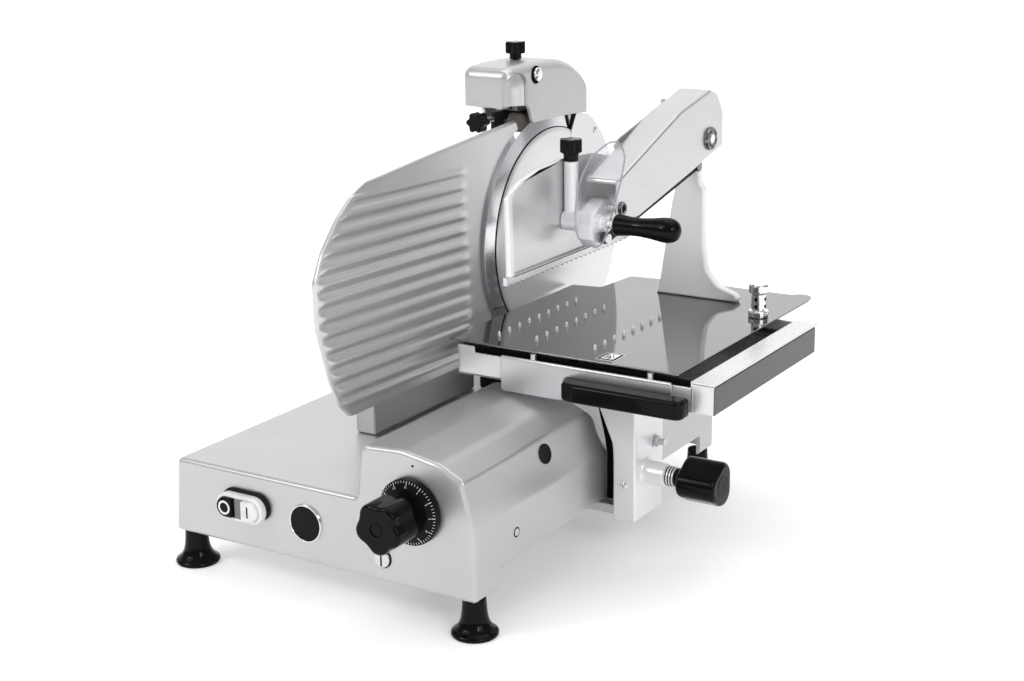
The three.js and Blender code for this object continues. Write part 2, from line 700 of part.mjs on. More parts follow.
function armCover() {
  const { near, far, sheet } = ARM;
  const body = slab('yz', armOutline, far, near);
  const hollow = armOutline.slice(1, 7).map(([y, z]) => [y, z - sheet]);
  const room = [
    [320, 436], [346, 445], ...hollow.slice(1, 4), [621, 515.6], [639.2, 491.4], [641.2, 446], [641, 380],
    [320, 340],
  ];
  const inside = slab('yz', room, far + sheet, near - sheet);
  const pins = [rod('x', PIVOT.postTop, 6.3, -60, 20, 20), rod('x', PIVOT.armFront, 5.3, -60, 20, 20)];
  return cut(body, inside, ...pins);
}

function levelLink() {
  const [b, l] = [PIVOT.postLow, linkFront];
  const angle = Math.atan2(l[1] - b[1], l[0] - b[0]);
  const s = new THREE.Shape();
  s.absarc(b[0], b[1], 7, angle + Math.PI / 2, angle + Math.PI * 1.5, false);
  s.absarc(l[0], l[1], 7, angle - Math.PI / 2, angle + Math.PI / 2, false);
  return slab('yz', s, -12, -4, [circleHole(b[0], b[1], 4.3), circleHole(l[0], l[1], 4.3)], 8);
}

function pressCarrier() {
  const axis = [HANDLE.y, HANDLE.z];
  const cheek = slab('yz', [
    [303, 393], [306, 402], [336, 418], [348, 419], [357, 411], [357, 401], [334, 368], [326, 362],
    [316, 362], [308, 372],
  ], -36, -14);
  const boss = rod('x', axis, 12.5, -60.5, -12.8, 28);
  const spindle = turned('x', axis, [[0, -13], [11, -13], [11, 1.6], [6, 1.6], [6, 94], [0, 94]], 24);
  const tube = rod('z', [-51.5, HANDLE.y], 9, 385, 468, 24);
  const pinTop = rod('x', PIVOT.armFront, 5, ARM.far - 3, ARM.near + 2, 20);
  const capTop = rod('x', PIVOT.armFront, 9, ARM.near + GAP, ARM.near + 3.2, 24);
  const pinLow = rod('x', linkFront, 4, -15, -3, 16);
  const capLow = rod('x', linkFront, 6.5, -3.7, -1, 20);
  return join(cheek, boss, spindle, tube, pinTop, capTop, pinLow, capLow);
}

function pressPlate() {
  return slab('yz', [
    [170, 346], [170, 441], [176, 448], [203, 459], [248, 468.6], [317, 471], [386, 467], [431, 457],
    [462, 445], [478, 430], [478, 346],
  ], PRESS.x - 0.4, PRESS.x + 2.6);
}

function toothedStrip() {
  const z = 334;
  const points = [[176, 346 - GAP]];
  const pitch = 12;
  for (let y = 176; y < 488; y += pitch) {
    points.push([y, z + 3], [y + pitch / 2, z]);
  }
  points.push([488, z + 3], [488, 346 - GAP]);
  return slab('yz', points, PRESS.x - 3, PRESS.x + 2.6);
}

function handShield() {
  const outline = [
    [-63, 395], [-63, 418], [-59, 446], [-51, 462], [-35, 483], [-5, 496], [10, 496], [18, 489],
    [24, 474], [16, 444], [-8, 384], [-16, 371], [-28, 367], [-58, 384],
  ].map(([u, z]) => [u, z - HANDLE.z]);
  return cut(slab('yz', outline, -1.5, 1.5), rod('x', [0, 0], 8, -2, 2, 20));
}

function handleGrip() {
  return turned('x', [HANDLE.y, HANDLE.z], [
    [6.3, 13], [12.5, 13], [13.5, 17], [12.5, 28], [11.5, 42], [12.5, 60], [15.5, 78], [15.5, 90],
    [11, 99], [0, 102], [0, 95], [6.3, 95], [6.3, 13],
  ], 28);
}

function pressKnob() {
  const at = [-51.5, HANDLE.y];
  return join(rod('z', at, 9, 468 + GAP, 481, 20), lobedKnob('xy', at, 14, 6, 2.5, 480, 496));
}

add('arm_cover', armCover(), STEEL);
add('level_link', levelLink(), STEEL);
add('press_carrier', pressCarrier(), CAST);
add('press_plate', pressPlate(), STEEL);
add('press_strip', toothedStrip(), STEEL);
const shield = add('hand_shield', handShield(), CLEAR);
shield.position.set(6.5, HANDLE.y, HANDLE.z);
shield.rotation.z = -0.27;
add('handle_grip', handleGrip(), BLACK);
add('press_knob', pressKnob(), BLACK);

// ---------- origin at the middle of the footprint ----------

machine.updateMatrixWorld(true);
const extent = new THREE.Box3().setFromObject(machine);
const middle = extent.getCenter(new THREE.Vector3());
machine.position.set(-middle.x, -middle.y, -extent.min.z);
machine.updateMatrixWorld(true);

export default machine;
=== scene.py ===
"""Looks of the straight-feed meat slicer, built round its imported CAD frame.

Every place is given in machine millimetres: x = 0 on the base's right wall, y = 0 on its front
panel and z = 0 under the casting. The origin is read from the CAD box of the base casting.
"""

import math

import bmesh
import bpy
from mathutils import Matrix, Vector

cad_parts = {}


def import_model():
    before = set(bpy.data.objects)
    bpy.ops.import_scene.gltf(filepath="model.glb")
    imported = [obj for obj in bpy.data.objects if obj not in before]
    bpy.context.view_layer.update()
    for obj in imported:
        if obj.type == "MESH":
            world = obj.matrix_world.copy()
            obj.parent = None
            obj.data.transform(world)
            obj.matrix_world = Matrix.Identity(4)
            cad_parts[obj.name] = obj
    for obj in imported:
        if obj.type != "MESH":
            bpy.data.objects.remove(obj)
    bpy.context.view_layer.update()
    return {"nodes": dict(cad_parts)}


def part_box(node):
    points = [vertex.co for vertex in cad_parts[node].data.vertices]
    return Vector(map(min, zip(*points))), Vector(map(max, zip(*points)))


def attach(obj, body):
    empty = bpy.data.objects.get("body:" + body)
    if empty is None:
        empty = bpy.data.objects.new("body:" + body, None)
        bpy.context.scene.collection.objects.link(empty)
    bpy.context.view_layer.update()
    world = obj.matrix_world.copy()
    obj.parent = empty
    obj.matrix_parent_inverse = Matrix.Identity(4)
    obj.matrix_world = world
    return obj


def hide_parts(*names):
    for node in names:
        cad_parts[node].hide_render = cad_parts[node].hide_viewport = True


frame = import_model()

_base_lo, _base_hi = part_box("base_casting")
ORIGIN = Vector((_base_hi.x, _base_lo.y, _base_lo.z))
MM = 0.001


def place(p):
    """A point in machine millimetres, carried to the row frame in metres."""
    return ORIGIN + Vector(p) * MM


def span(node):
    """The CAD box of a node as two points in machine millimetres."""
    lo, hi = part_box(node)
    return (lo - ORIGIN) / MM, (hi - ORIGIN) / MM


def about(p, turn):
    """A rotation about a point in machine millimetres."""
    centre = place(p)
    return Matrix.Translation(centre) @ turn @ Matrix.Translation(-centre)


def middle_xz(node):
    """The middle of a front panel node, as (x, z)."""
    lo, hi = span(node)
    return (lo.x + hi.x) / 2, (lo.z + hi.z) / 2


# ---- outlines


def arc(cx, cy, r, a0, a1, steps=8):
    """Points on a circle from angle a0 to a1, in degrees."""
    out = []
    for i in range(steps + 1):
        a = math.radians(a0 + (a1 - a0) * i / steps)
        out.append((cx + r * math.cos(a), cy + r * math.sin(a)))
    return out


def circle(cx, cy, r, steps=48):
    return arc(cx, cy, r, 0, 360 - 360 / steps, steps - 1)


def fillet(points, radius, steps=5):
    """Rounds the corners of a closed outline. A point may carry its own radius as a third number."""
    out = []
    n = len(points)
    for i, p in enumerate(points):
        r = p[2] if len(p) > 2 else radius
        a = Vector(points[i - 1][:2]) - Vector(p[:2])
        b = Vector(points[(i + 1) % n][:2]) - Vector(p[:2])
        la, lb = a.length, b.length
        if r < 0.05 or la < 1e-6 or lb < 1e-6:
            out.append(tuple(p[:2]))
            continue
        a, b = a / la, b / lb
        half = math.acos(max(-1, min(1, a.dot(b)))) / 2
        if half > math.radians(87):
            out.append(tuple(p[:2]))
            continue
        reach = min(r / math.tan(half), la * 0.49, lb * 0.49)
        real = reach * math.tan(half)
        centre = Vector(p[:2]) + (a + b).normalized() * (real / math.sin(half))
        s = Vector(p[:2]) + a * reach - centre
        e = Vector(p[:2]) + b * reach - centre
        turn = math.atan2(s.x * e.y - s.y * e.x, s.dot(e))
        for k in range(steps + 1):
            t = turn * k / steps
            q = Vector((s.x * math.cos(t) - s.y * math.sin(t), s.x * math.sin(t) + s.y * math.cos(t)))
            out.append(tuple(centre + q))
    return out


def area(points):
    return sum(p[0] * q[1] - q[0] * p[1] for p, q in zip(points, points[1:] + points[:1])) / 2


def ccw(points):
    points = [tuple(p) for i, p in enumerate(points) if (Vector(p) - Vector(points[i - 1])).length > 1e-4]
    return points if area(points) > 0 else points[::-1]


def inset(points, d):
    """Moves a counter-clockwise outline inwards by d, mitred."""
    n = len(points)
    out = []
    for i, p in enumerate(points):
        a = (Vector(p) - Vector(points[i - 1])).normalized()
        b = (Vector(points[(i + 1) % n]) - Vector(p)).normalized()
        na, nb = Vector((-a.y, a.x)), Vector((-b.y, b.x))
        m = na + nb
        q = Vector(p) + m * (2 * d / max(0.5, m.length_squared))
        out.append((q.x, q.y))
    for _ in range(24):
        turned = False
        for i in range(n):
            j = (i + 1) % n
            before = Vector(points[j]) - Vector(points[i])
            after = Vector(out[j]) - Vector(out[i])
            if after.dot(before) < 0:
                out[i] = out[j] = tuple((Vector(out[i]) + Vector(out[j])) / 2)
                turned = True
        if not turned:
            break
    return out


def lobes(cx, cy, r, count, depth, steps=16, turn=0.0):
    """The outline of a lobed knob: count hollows of the given depth."""
    out = []
    for i in range(count * steps):
        t = 2 * math.pi * i / (count * steps)
        k = 0.5 + 0.5 * math.cos(t * count + math.pi)
        rr = r - depth * k ** 1.3
        out.append((cx + rr * math.cos(t + turn), cy + rr * math.sin(t + turn)))
    return out


# ---- meshes

AXES = {
    "x": lambda u, v, w: (w, u, v),
    "y": lambda u, v, w: (u, w, v),
    "z": lambda u, v, w: (u, v, w),
}


class Piece:
    """Collects the shells of one visible piece, then makes its object."""

    def __init__(self, name, body, material, *stands_for, slot=None, smooth=38.0):
        self.name, self.body, self.slot_name = name, body, slot or SLOTS.get(material)
        self.material, self.stands_for, self.smooth = material, stands_for, smooth
        self.bm = bmesh.new()
        self.cutters = []
        self.wall = 0.0

    def vert(self, p):
        return self.bm.verts.new(place(p))

    def rings(self, rings, cap=True):
        """Skins a list of rings of points that all have the same count."""
        rows = [[self.vert(p) for p in ring] for ring in rings]
        n = len(rows[0])
        for r0, r1 in zip(rows, rows[1:]):
            for i in range(n):
                j = (i + 1) % n
                self.bm.faces.new((r0[i], r0[j], r1[j], r1[i]))
        if cap:
            self.bm.faces.new(rows[0][::-1])
            self.bm.faces.new(rows[-1])
        return self

    def slab(self, axis, outline, lo, hi, r, steps=3, r_lo=None, r_hi=None):
        """An outline thickened along an axis, with its two rims rounded by r."""
        outline = ccw(outline)
        put = AXES[axis]

        def rim(edge, sign, radius):
            """The rings of one rounded rim, outermost first."""
            if radius <= 0:
                return [[put(u, v, edge) for u, v in outline]]
            rings = []
            for k in range(steps + 1):
                a = math.pi / 2 * k / steps
                ring = inset(outline, radius * (1 - math.sin(a)))
                rings.append([put(u, v, edge + sign * radius * (1 - math.cos(a))) for u, v in ring])
            return rings

        low = rim(lo, 1, r if r_lo is None else r_lo)
        high = rim(hi, -1, r if r_hi is None else r_hi)
        return self.rings(low + high[::-1])

    def box(self, x, y, z, r, corner=None, axis="z"):
        """A block with rounded rims, and rounded corners about one axis."""
        corner = r * 1.2 if corner is None else corner
        sides = {"x": (y, z, x), "y": (x, z, y), "z": (x, y, z)}[axis]
        (u0, u1), (v0, v1), (w0, w1) = sides
        outline = [(u0, v0), (u1, v0), (u1, v1), (u0, v1)]
        return self.slab(axis, fillet(outline, corner, 4) if corner > 0 else outline, w0, w1, r)

    def lathe(self, axis, centre, profile, segments, round_by=0.0):
        """Turns (radius, distance) points about an axis through centre; corners rounded by round_by."""
        if round_by > 0:
            profile = soften(profile, round_by)
        put = AXES[axis]
        rings = []
        for radius, along in profile:
            radius = max(radius, 0.02)
            ring = circle(centre[0], centre[1], radius, segments)
            rings.append([put(u, v, along) for u, v in ring])
        closed = Vector(profile[0]) == Vector(profile[-1])
        return self.rings(rings, cap=not closed)

    def rod(self, axis, centre, radius, lo, hi, segments, round_by=0.0):
        """A plain round bar from lo to hi along an axis."""
        return self.lathe(axis, centre, [
            (0, lo), (radius, lo), (radius, hi), (0, hi),
        ], segments, round_by)

    def tube(self, axis, centre, inner, outer, lo, hi, segments, round_by=0.0):
        """A plain ring from lo to hi along an axis."""
        profile = [(inner, lo), (outer, lo), (outer, hi), (inner, hi), (inner, lo)]
        return self.lathe(axis, centre, profile, segments, round_by)

    def sweep(self, path, radius, segments):
        """A round bar along a path of points."""
        pts = [Vector(p) for p in path]
        rings = []
        side = None
        for i, p in enumerate(pts):
            d = (pts[min(i + 1, len(pts) - 1)] - pts[max(i - 1, 0)]).normalized()
            if side is None:
                side = d.orthogonal().normalized()
            side = (side - d * side.dot(d)).normalized()
            up = d.cross(side)
            ring = []
            for k in range(segments):
                a = 2 * math.pi * k / segments
                ring.append(p + side * radius * math.cos(a) + up * radius * math.sin(a))
            rings.append(ring)
        return self.rings(rings)

    def cut(self, other):
        """Takes another piece's shells out of this one when it is finished."""
        self.cutters.append(other)
        return self

    def bore(self, *bar):
        """Takes a plain round bar out of this piece when it is finished."""
        return self.cut(tool().rod(*bar))

    def mesh_object(self, name):
        bmesh.ops.remove_doubles(self.bm, verts=self.bm.verts[:], dist=0.000004)
        bmesh.ops.recalc_face_normals(self.bm, faces=self.bm.faces[:])
        mesh = bpy.data.meshes.new(name)
        self.bm.to_mesh(mesh)
        self.bm.free()
        return linked(name, mesh)

    def done(self, transform=None):
        obj = self.mesh_object(self.name)
        if self.wall:
            mod = obj.modifiers.new("wall", "SOLIDIFY")
            mod.thickness = self.wall * MM
            mod.offset = -1
            apply_modifiers(obj)
        for i, cutter in enumerate(self.cutters):
            tool = cutter.mesh_object(f"{self.name}_tool{i}")
            mod = obj.modifiers.new("cut", "BOOLEAN")
            mod.operation = "DIFFERENCE"
            mod.solver = "EXACT"
            mod.object = tool
            apply_modifiers(obj)
            bpy.data.objects.remove(tool)
        if transform is not None:
            obj.data.transform(transform)
        for poly in obj.data.polygons:
            poly.use_smooth = True
        obj.data.set_sharp_from_angle(angle=math.radians(self.smooth))
        mod = obj.modifiers.new("weighted", "WEIGHTED_NORMAL")
        mod.keep_sharp = True
        apply_modifiers(obj)
        paint(obj, self.material)
        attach(obj, self.body)
        if self.stands_for:
            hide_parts(*self.stands_for)


def linked(name, data):
    """A new object in the scene."""
    obj = bpy.data.objects.new(name, data)
    bpy.context.scene.collection.objects.link(obj)
    return obj


def paint(obj, mat):
    obj.data.materials.clear()
    obj.data.materials.append(mat)


def apply_modifiers(obj):
    """Bakes an object's modifiers into its mesh."""
    graph = bpy.context.evaluated_depsgraph_get()
    graph.update()
    mesh = bpy.data.meshes.new_from_object(obj.evaluated_get(graph), depsgraph=graph)
    obj.modifiers.clear()
    old = obj.data
    obj.data = mesh
    bpy.data.meshes.remove(old)


def tool():
    """Shells that are only taken out of another piece."""
    return Piece("tool", None, None)


def soften(profile, r, steps=4):
    """Rounds the corners of an open turned profile."""
    out = [profile[0]]
    for a, p, b in zip(profile, profile[1:], profile[2:]):
        va, vb = Vector(a) - Vector(p), Vector(b) - Vector(p)
        la, lb = va.length, vb.length
        if la < 1e-6 or lb < 1e-6:
            continue
        va, vb = va / la, vb / lb
        if va.dot(vb) < -0.985:
            out.append(p)
            continue
        reach = min(r, la * 0.45, lb * 0.45)
        p0, p1 = Vector(p) + va * reach, Vector(p) + vb * reach
        for k in range(steps + 1):
            t = k / steps
            q = p0 * (1 - t) ** 2 + Vector(p) * 2 * t * (1 - t) + p1 * t ** 2
            out.append((q.x, q.y))
    out.append(profile[-1])
    return out


# ---- materials


def set_inputs(node, **values):
    """Sets inputs of a shader node; an underscore in a key stands for a space."""
    for key, value in values.items():
        node.inputs[key.replace("_", " ")].default_value = value
    return node


def add_node(owner, kind, **values):
    return set_inputs(owner.node_tree.nodes.new("ShaderNode" + kind), **values)


def link(owner, source, output, target, socket):
    owner.node_tree.links.new(source.outputs[output], target.inputs[socket])


def shader_of(mat):
    return mat.node_tree.nodes["Principled BSDF"]


def material(name, color, metallic, roughness, **more):
    mat = bpy.data.materials.new(name)
    mat.use_nodes = True
    set_inputs(shader_of(mat), Base_Color=(*color, 1), Metallic=metallic, Roughness=roughness, **more)
    return mat


def noise(mat, scale, stretch=(1, 1, 1), detail=1.0):
    """A noise field in the row frame; scale is in cycles per metre, stretch squeezes it by axis."""
    coord = add_node(mat, "TexCoord")
    mapping = add_node(mat, "Mapping", Scale=stretch)
    field = add_node(mat, "TexNoise", Scale=scale, Detail=detail)
    link(mat, coord, "Object", mapping, "Vector")
    link(mat, mapping, "Vector", field, "Vector")
    return field


def polish(mat, field, low, high):
    """Moves the roughness from low to high with a noise field."""
    spread = add_node(mat, "MapRange", From_Min=0.3, From_Max=0.7, To_Min=low, To_Max=high)
    link(mat, field, "Fac", spread, "Value")
    link(mat, spread, "Result", shader_of(mat), "Roughness")


def bump(mat, field, strength, distance):
    node = add_node(mat, "Bump", Strength=strength, Distance=distance)
    link(mat, field, "Fac", node, "Height")
    link(mat, node, "Normal", shader_of(mat), "Normal")


def tint(mat, field, color, dark, light):
    """Moves the base colour from a darker to a lighter shade with a noise field."""
    ramp = add_node(mat, "ValToRGB")
    for element, position, share in zip(ramp.color_ramp.elements, (0.3, 0.7), (dark, light)):
        element.position = position
        element.color = (*(min(1.0, c * share) for c in color), 1)
    link(mat, field, "Fac", ramp, "Fac")
    link(mat, ramp, "Color", shader_of(mat), "Base Color")


def metal(name, color, roughness, grain, depth, strength, wander=0.05, metallic=1.0):
    """Metal with a fine grain, cast or brushed by its stretch, and slow changes in polish."""
    mat = material(name, color, metallic, roughness)
    fine = noise(mat, *grain, 6.0)
    tint(mat, noise(mat, 9.0, detail=3.0), color, 0.965, 1.02)
    polish(mat, fine, roughness - wander, roughness + wander)
    bump(mat, fine, strength, depth)
    return mat


def plastic(name, color, roughness, ripple, scale=260, gloss=0.5):
    """Moulded plastic, rubber or paint; gloss is the level of its mirror reflection."""
    mat = material(name, color, 0.0, roughness, Specular_IOR_Level=gloss)
    slow = noise(mat, 25, detail=2.0)
    tint(mat, slow, color, 0.85, 1.15)
    polish(mat, slow, roughness * 0.8, roughness * 1.25)
    bump(mat, noise(mat, scale, detail=3.0), ripple, 0.00005)
    return mat


CAST = metal(
    "cast_aluminium_mat", (0.56, 0.56, 0.57), 0.36, (1500, (1, 1, 1)), 0.00002, 0.10, metallic=0.72)
COLUMN_CAST = metal(
    "column_casting_mat", (0.84, 0.84, 0.85), 0.36, (1400, (1, 1, 1)), 0.00002, 0.08, 0.04, metallic=0.45)
# Cast aluminium darkened as painted shade, for casting surfaces that sit in shade.
DARK_CAST = metal(
    "shaded_casting_mat", (0.30, 0.30, 0.31), 0.36, (1400, (1, 1, 1)), 0.00002, 0.08, 0.04)
DARK_CHROME = metal(
    "dark_chrome_mat", (0.22, 0.22, 0.225), 0.12, (300, (1, 1, 1)), 0.00001, 0.02, 0.015)
# Cast aluminium made near-white and mostly diffuse for the arm post: painted light for the lamp light on its
# front.
LIT_POST_CAST = metal(
    "post_casting_painted_light_mat", (0.95, 0.95, 0.96), 0.36, (1400, (1, 1, 1)), 0.00002, 0.05, 0.03, metallic=0.1)
TRAY_SHEET = metal(
    "tray_stainless_mat", (0.80, 0.80, 0.81), 0.30, (500, (4, 0.12, 4)), 0.00001, 0.10, 0.04, metallic=0.6)
# A satin casting lighter than the cast aluminium: partly its own satin finish, partly painted light for
# brightly lit parts.
LIT_SATIN = metal(
    "satin_casting_painted_light_mat", (0.86, 0.86, 0.87), 0.38, (1400, (1, 1, 1)), 0.00002, 0.08, 0.04, metallic=0.5)
CAST_SMOOTH = metal(
    "machined_aluminium_mat", (0.80, 0.80, 0.81), 0.30, (1100, (1, 1, 1)), 0.00001, 0.02, 0.02, metallic=0.6)
RIBBED = metal(
    "gauge_aluminium_mat", (0.66, 0.66, 0.67), 0.33, (420, (3, 0.35, 3)), 0.00001, 0.05, 0.04, metallic=0.75)
BRUSHED = metal(
    "brushed_stainless_mat", (0.68, 0.68, 0.69), 0.32, (500, (4, 0.12, 4)), 0.00002, 0.14, metallic=0.8)
BRUSHED_ARM = metal(
    "arm_stainless_mat", (0.62, 0.62, 0.63), 0.30, (500, (4, 0.12, 3)), 0.00001, 0.10, 0.04, metallic=0.9)
# Brushed stainless made much darker for the tray's right side: painted reflection and shade for the dark
# surroundings it mirrors.
SHADED_SIDE_SHEET = metal(
    "side_sheet_painted_shade_mat", (0.105, 0.102, 0.098), 0.30, (500, (4, 0.12, 4)), 0.00002, 0.12)
POLISHED = metal(
    "polished_stainless_mat", (0.22, 0.224, 0.228), 0.07, (700, (4, 0.15, 4)), 0.00001, 0.03, 0.02)
BLADE_STEEL = metal(
    "blade_steel_mat", (0.78, 0.79, 0.80), 0.16, (900, (4, 1, 1)), 0.00001, 0.06, 0.03)
STEEL = metal("machined_steel_mat", (0.62, 0.63, 0.64), 0.25, (700, (0.3, 4, 4)), 0.00001, 0.08)
CHROME = metal("chrome_mat", (0.84, 0.84, 0.85), 0.09, (300, (1, 1, 1)), 0.00001, 0.02, 0.015)
BLACK = plastic("black_moulding_mat", (0.003, 0.003, 0.0034), 0.11, 0.04, gloss=0.12)
BLACK_SATIN = plastic("black_satin_mat", (0.005, 0.005, 0.0055), 0.30, 0.10, 600, gloss=0.10)
DARK = plastic("dark_moulding_mat", (0.014, 0.014, 0.015), 0.5, 0.10, 500, gloss=0.2)
WHITE = plastic("white_moulding_mat", (0.80, 0.80, 0.79), 0.28, 0.04)
RUBBER = plastic("rubber_mat", (0.008, 0.008, 0.008), 0.55, 0.16, 700, gloss=0.15)
MARKING = plastic("white_marking_mat", (0.85, 0.85, 0.84), 0.45, 0.03)
MOTOR = plastic("motor_paint_mat", (0.07, 0.07, 0.075), 0.42, 0.16, 400)
# Near-black painted shade, laid into seams, slots, grooves, holes and recesses where shade falls.
GAP_SHADE = plastic("painted_gap_shade_mat", (0.003, 0.003, 0.003), 0.6, 0.03, gloss=0.05)
STONE = plastic("abrasive_mat", (0.16, 0.13, 0.12), 0.9, 0.6, 1400, gloss=0.2)
LENS = plastic("lamp_lens_mat", (0.20, 0.19, 0.19), 0.12, 0.04)
CLEAR = material(
    "clear_polycarbonate_mat", (0.93, 0.95, 0.97), 0.0, 0.03,
    Transmission_Weight=0.9, IOR=1.05, Alpha=0.25,
)
CLEAR_EDGE = material("clear_sheet_edge_mat", (0.42, 0.40, 0.45), 0.0, 0.2, Alpha=0.6)
for sheet_mat in (CLEAR, CLEAR_EDGE):
    bump(sheet_mat, noise(sheet_mat, 40), 0.01, 0.00002)

# The named look that a piece in each finish belongs to, unless it says another.
# The painted gap shade is no plastic; it is only filed under the dark plastic look.
SLOTS = {
    GAP_SHADE: "dark_plastic", BLACK: "black_knobs", STEEL: "machined_steel", CHROME: "chrome_parts",
    CAST: "cast_aluminium", CAST_SMOOTH: "cast_aluminium", BLACK_SATIN: "black_knobs",
    DARK: "dark_plastic", TRAY_SHEET: "brushed_stainless", BRUSHED_ARM: "brushed_stainless",
    WHITE: "switch_white", MARKING: "switch_white", LIT_SATIN: "cast_aluminium", DARK_CHROME: "chrome_parts",
    RUBBER: "dark_plastic", LENS: "dark_plastic", RIBBED: "cast_aluminium", BLADE_STEEL: "blade_steel",
    DARK_CAST: "cast_aluminium", MOTOR: "motor_paint", STONE: "abrasive", COLUMN_CAST: "cast_aluminium",
    SHADED_SIDE_SHEET: "brushed_stainless", POLISHED: "polished_stainless", LIT_POST_CAST: "cast_aluminium",
    BRUSHED: "brushed_stainless", CLEAR: "clear_shield", CLEAR_EDGE: "clear_shield",
}


# ---- base

_lo, _hi = span("base_casting")
BASE_LEFT, BASE_BACK, DECK = _lo.x, _hi.y, 102.0
SIDE_SCREW, PLUG = (93, 58.6), (174.5, 131)     # on the right wall, as (y, z)
ARCH = [
    (BASE_LEFT, 0, 5), (BASE_LEFT + 10, 101.5, 8), (-167, 102, 6), (-160, 158, 0), (-156, 170, 14),
    (-100, _hi.z - 0.2, 70), (-46, 165, 60), (-14, 149.5, 9), (-4, 112, 30), (0, 92, 30), (0, 0, 5),
]


def base_body():
    """The casting: the front arch carried back, dropping to the deck behind the housing."""
    p = Piece("base_body", "base", CAST, "base_casting", smooth=32)
    full = ccw(fillet(ARCH, 10, 7))
    rim, drop, drop_end, rear_end = 6.0, 30.0, 316.0, BASE_BACK
    wall, below = 6.0, -6.0

    def height(y):
        t = min(1.0, max(0.0, (y - drop_end + drop) / drop))
        return math.sqrt(1 - t * t)

    def ring(outline, y, deck, share, open_below=False):
        out = []
        for x, z in outline:
            top = deck + (z - deck) * share if z > deck else z
            out.append((x, y, below if open_below and z < wall + 6 else top))
        return out

    rounding = [math.pi / 2 * k / 5 for k in range(6)]
    levels = [drop_end - drop + drop * math.sin(math.pi / 2 * k / 8) for k in range(9)]
    rings = [ring(inset(full, rim * (1 - math.sin(a))), rim * (1 - math.cos(a)), DECK, 1.0) for a in rounding]
    rings += [ring(full, y, DECK, height(y)) for y in (120, 220, *levels, 330, 480)]
    rings += [
        ring(inset(full, rim * (1 - math.sin(a))), rear_end - rim * (1 - math.cos(a)), DECK, 0.0)
        for a in reversed(rounding)
    ]
    p.rings(rings)
    hollow = tool()
    inner = inset(full, wall)
    hollow.rings([
        ring(inner, y, DECK - wall, height(y + wall), True)
        for y in (wall + 1, 120, 220, *(level - wall for level in levels), 330, 480, rear_end - wall - 1)
    ])
    p.cut(hollow)
    p.cut(tool().slab("x", fillet([(50, -9, 0), (593, -9, 0), (593, 29, 4), (50, 29, 4)], 0), -12, 6, 0))
    p.done()


def feet():
    profile = [
        (0, -48), (27.4, -48), (28.6, -46.6), (29, -43.8), (27.6, -41.8), (24.5, -39.6), (20.6, -35.6),
        (17.8, -30), (16.1, -23), (15.1, -14), (14.6, -5), (14.4, 0), (0, 0),
    ]
    for node in ("foot_front_right", "foot_front_left", "foot_rear_right", "foot_rear_left"):
        lo, hi = span(node)
        x, y = (lo.x + hi.x) / 2, (lo.y + hi.y) / 2
        p = Piece(node + "_bell", "base", BLACK, node, slot="black_feet")
        p.lathe("z", (x, y), soften(profile, 1.5), 72)
        slots = tool()
        for k in range(10):
            a = 2 * math.pi * k / 10 + 0.2
            cx, cy = x + 29 * math.cos(a), y + 29 * math.sin(a)
            slots.box((cx - 1.4, cx + 1.4), (cy - 1.4, cy + 1.4), (-49, -44.6), 0.3)
        p.cut(slots)
        p.done()


def panel_switch():
    lo, hi = span("switch_bezel")
    x, z = (lo.x + hi.x) / 2, (lo.z + hi.z) / 2
    half, height = (hi.x - lo.x) / 2 * 0.96, (hi.z - lo.z) / 2 * 0.84

    def stadium(h, v):
        return arc(x + h - v, z, v, -90, 90, 14) + arc(x - h + v, z, v, 90, 270, 14)

    gasket = Piece("switch_gasket", "base", RUBBER)
    gasket.slab("y", [(u + 3.2, v + 3.4) for u, v in stadium(half + 0.6, height + 0.6)], -4.5, 0.5, 1.2)
    gasket.cut(tool().slab("y", stadium(half - 1, height - 1), -6, 2, 0))
    gasket.done()
    bezel = Piece("switch_frame", "base", WHITE, "switch_bezel")
    bezel.slab("y", stadium(half, height), -14, 0.2, 3, 4)
    bezel.cut(tool().slab("y", stadium(half - 4.2, height - 4.2), -20, -6, 0.8))
    bezel.done()
    Piece("switch_lamp", "base", LENS).slab("y", fillet([
        (x - 7.6, z - 13.5), (x + 5.6, z - 13.5), (x + 5.6, z + 13.5), (x - 7.6, z + 13.5),
    ], 1.5), -13.4, -5.5, 1).done()
    reach, v = half - 4.8, height - 4.8

    def button(sign, flat):
        """A button's outline, round at its outer end and flat towards the middle."""
        end = arc(x + sign * (reach - v), z, v, -90 * sign, 180 - 90 * sign, 16)
        corners = [(x + flat, z + sign * v, 2.6), (x + flat, z - sign * v, 2.6)]
        return fillet([(*q, 0) for q in end] + corners, 0)

    off = Piece("off_button", "button_off", BLACK, "button_off")
    off.slab("y", button(-1, -8.2), -18.4, -5.6, 2.2, 4)
    off.done()
    cx = x - reach + v + 0.5
    ring = Piece("off_button_mark", "button_off", MARKING)
    ring.lathe("y", (cx, z), [(6.6, -18.3), (6.6, -18.75), (9.2, -18.75), (9.2, -18.3), (6.6, -18.3)], 48)
    ring.done()
    on = Piece("on_button", "button_on", WHITE, "button_on")
    on.slab("y", button(1, 6.2), -18.4, -5.6, 2.2, 4)
    on.done()
    bar = Piece("on_button_mark", "button_on", BLACK_SATIN, slot="dark_plastic")
    bx = x + reach - v - 2.0
    bar.box((bx - 1.1, bx + 1.1), (-18.75, -18.3), (z - 7.5, z + 7.5), 0.2, 0.9, axis="y")
    bar.done()


def badge():
    at = middle_xz("badge_plate")
    p = Piece("badge_face", "base", BLACK, "badge_plate")
    p.lathe("y", at, [(0, -2.6), (22.6, -2.6), (23.0, -2.0), (23.0, -0.2), (0, -0.2)], 64)
    p.done()
    Piece("badge_rim", "base", CHROME).lathe("y", at, soften([
        (22.4, -2.4), (22.9, -3.2), (24.0, -3.0), (24.9, -0.2), (22.4, -0.2), (22.4, -2.4),
    ], 0.3), 64).done()


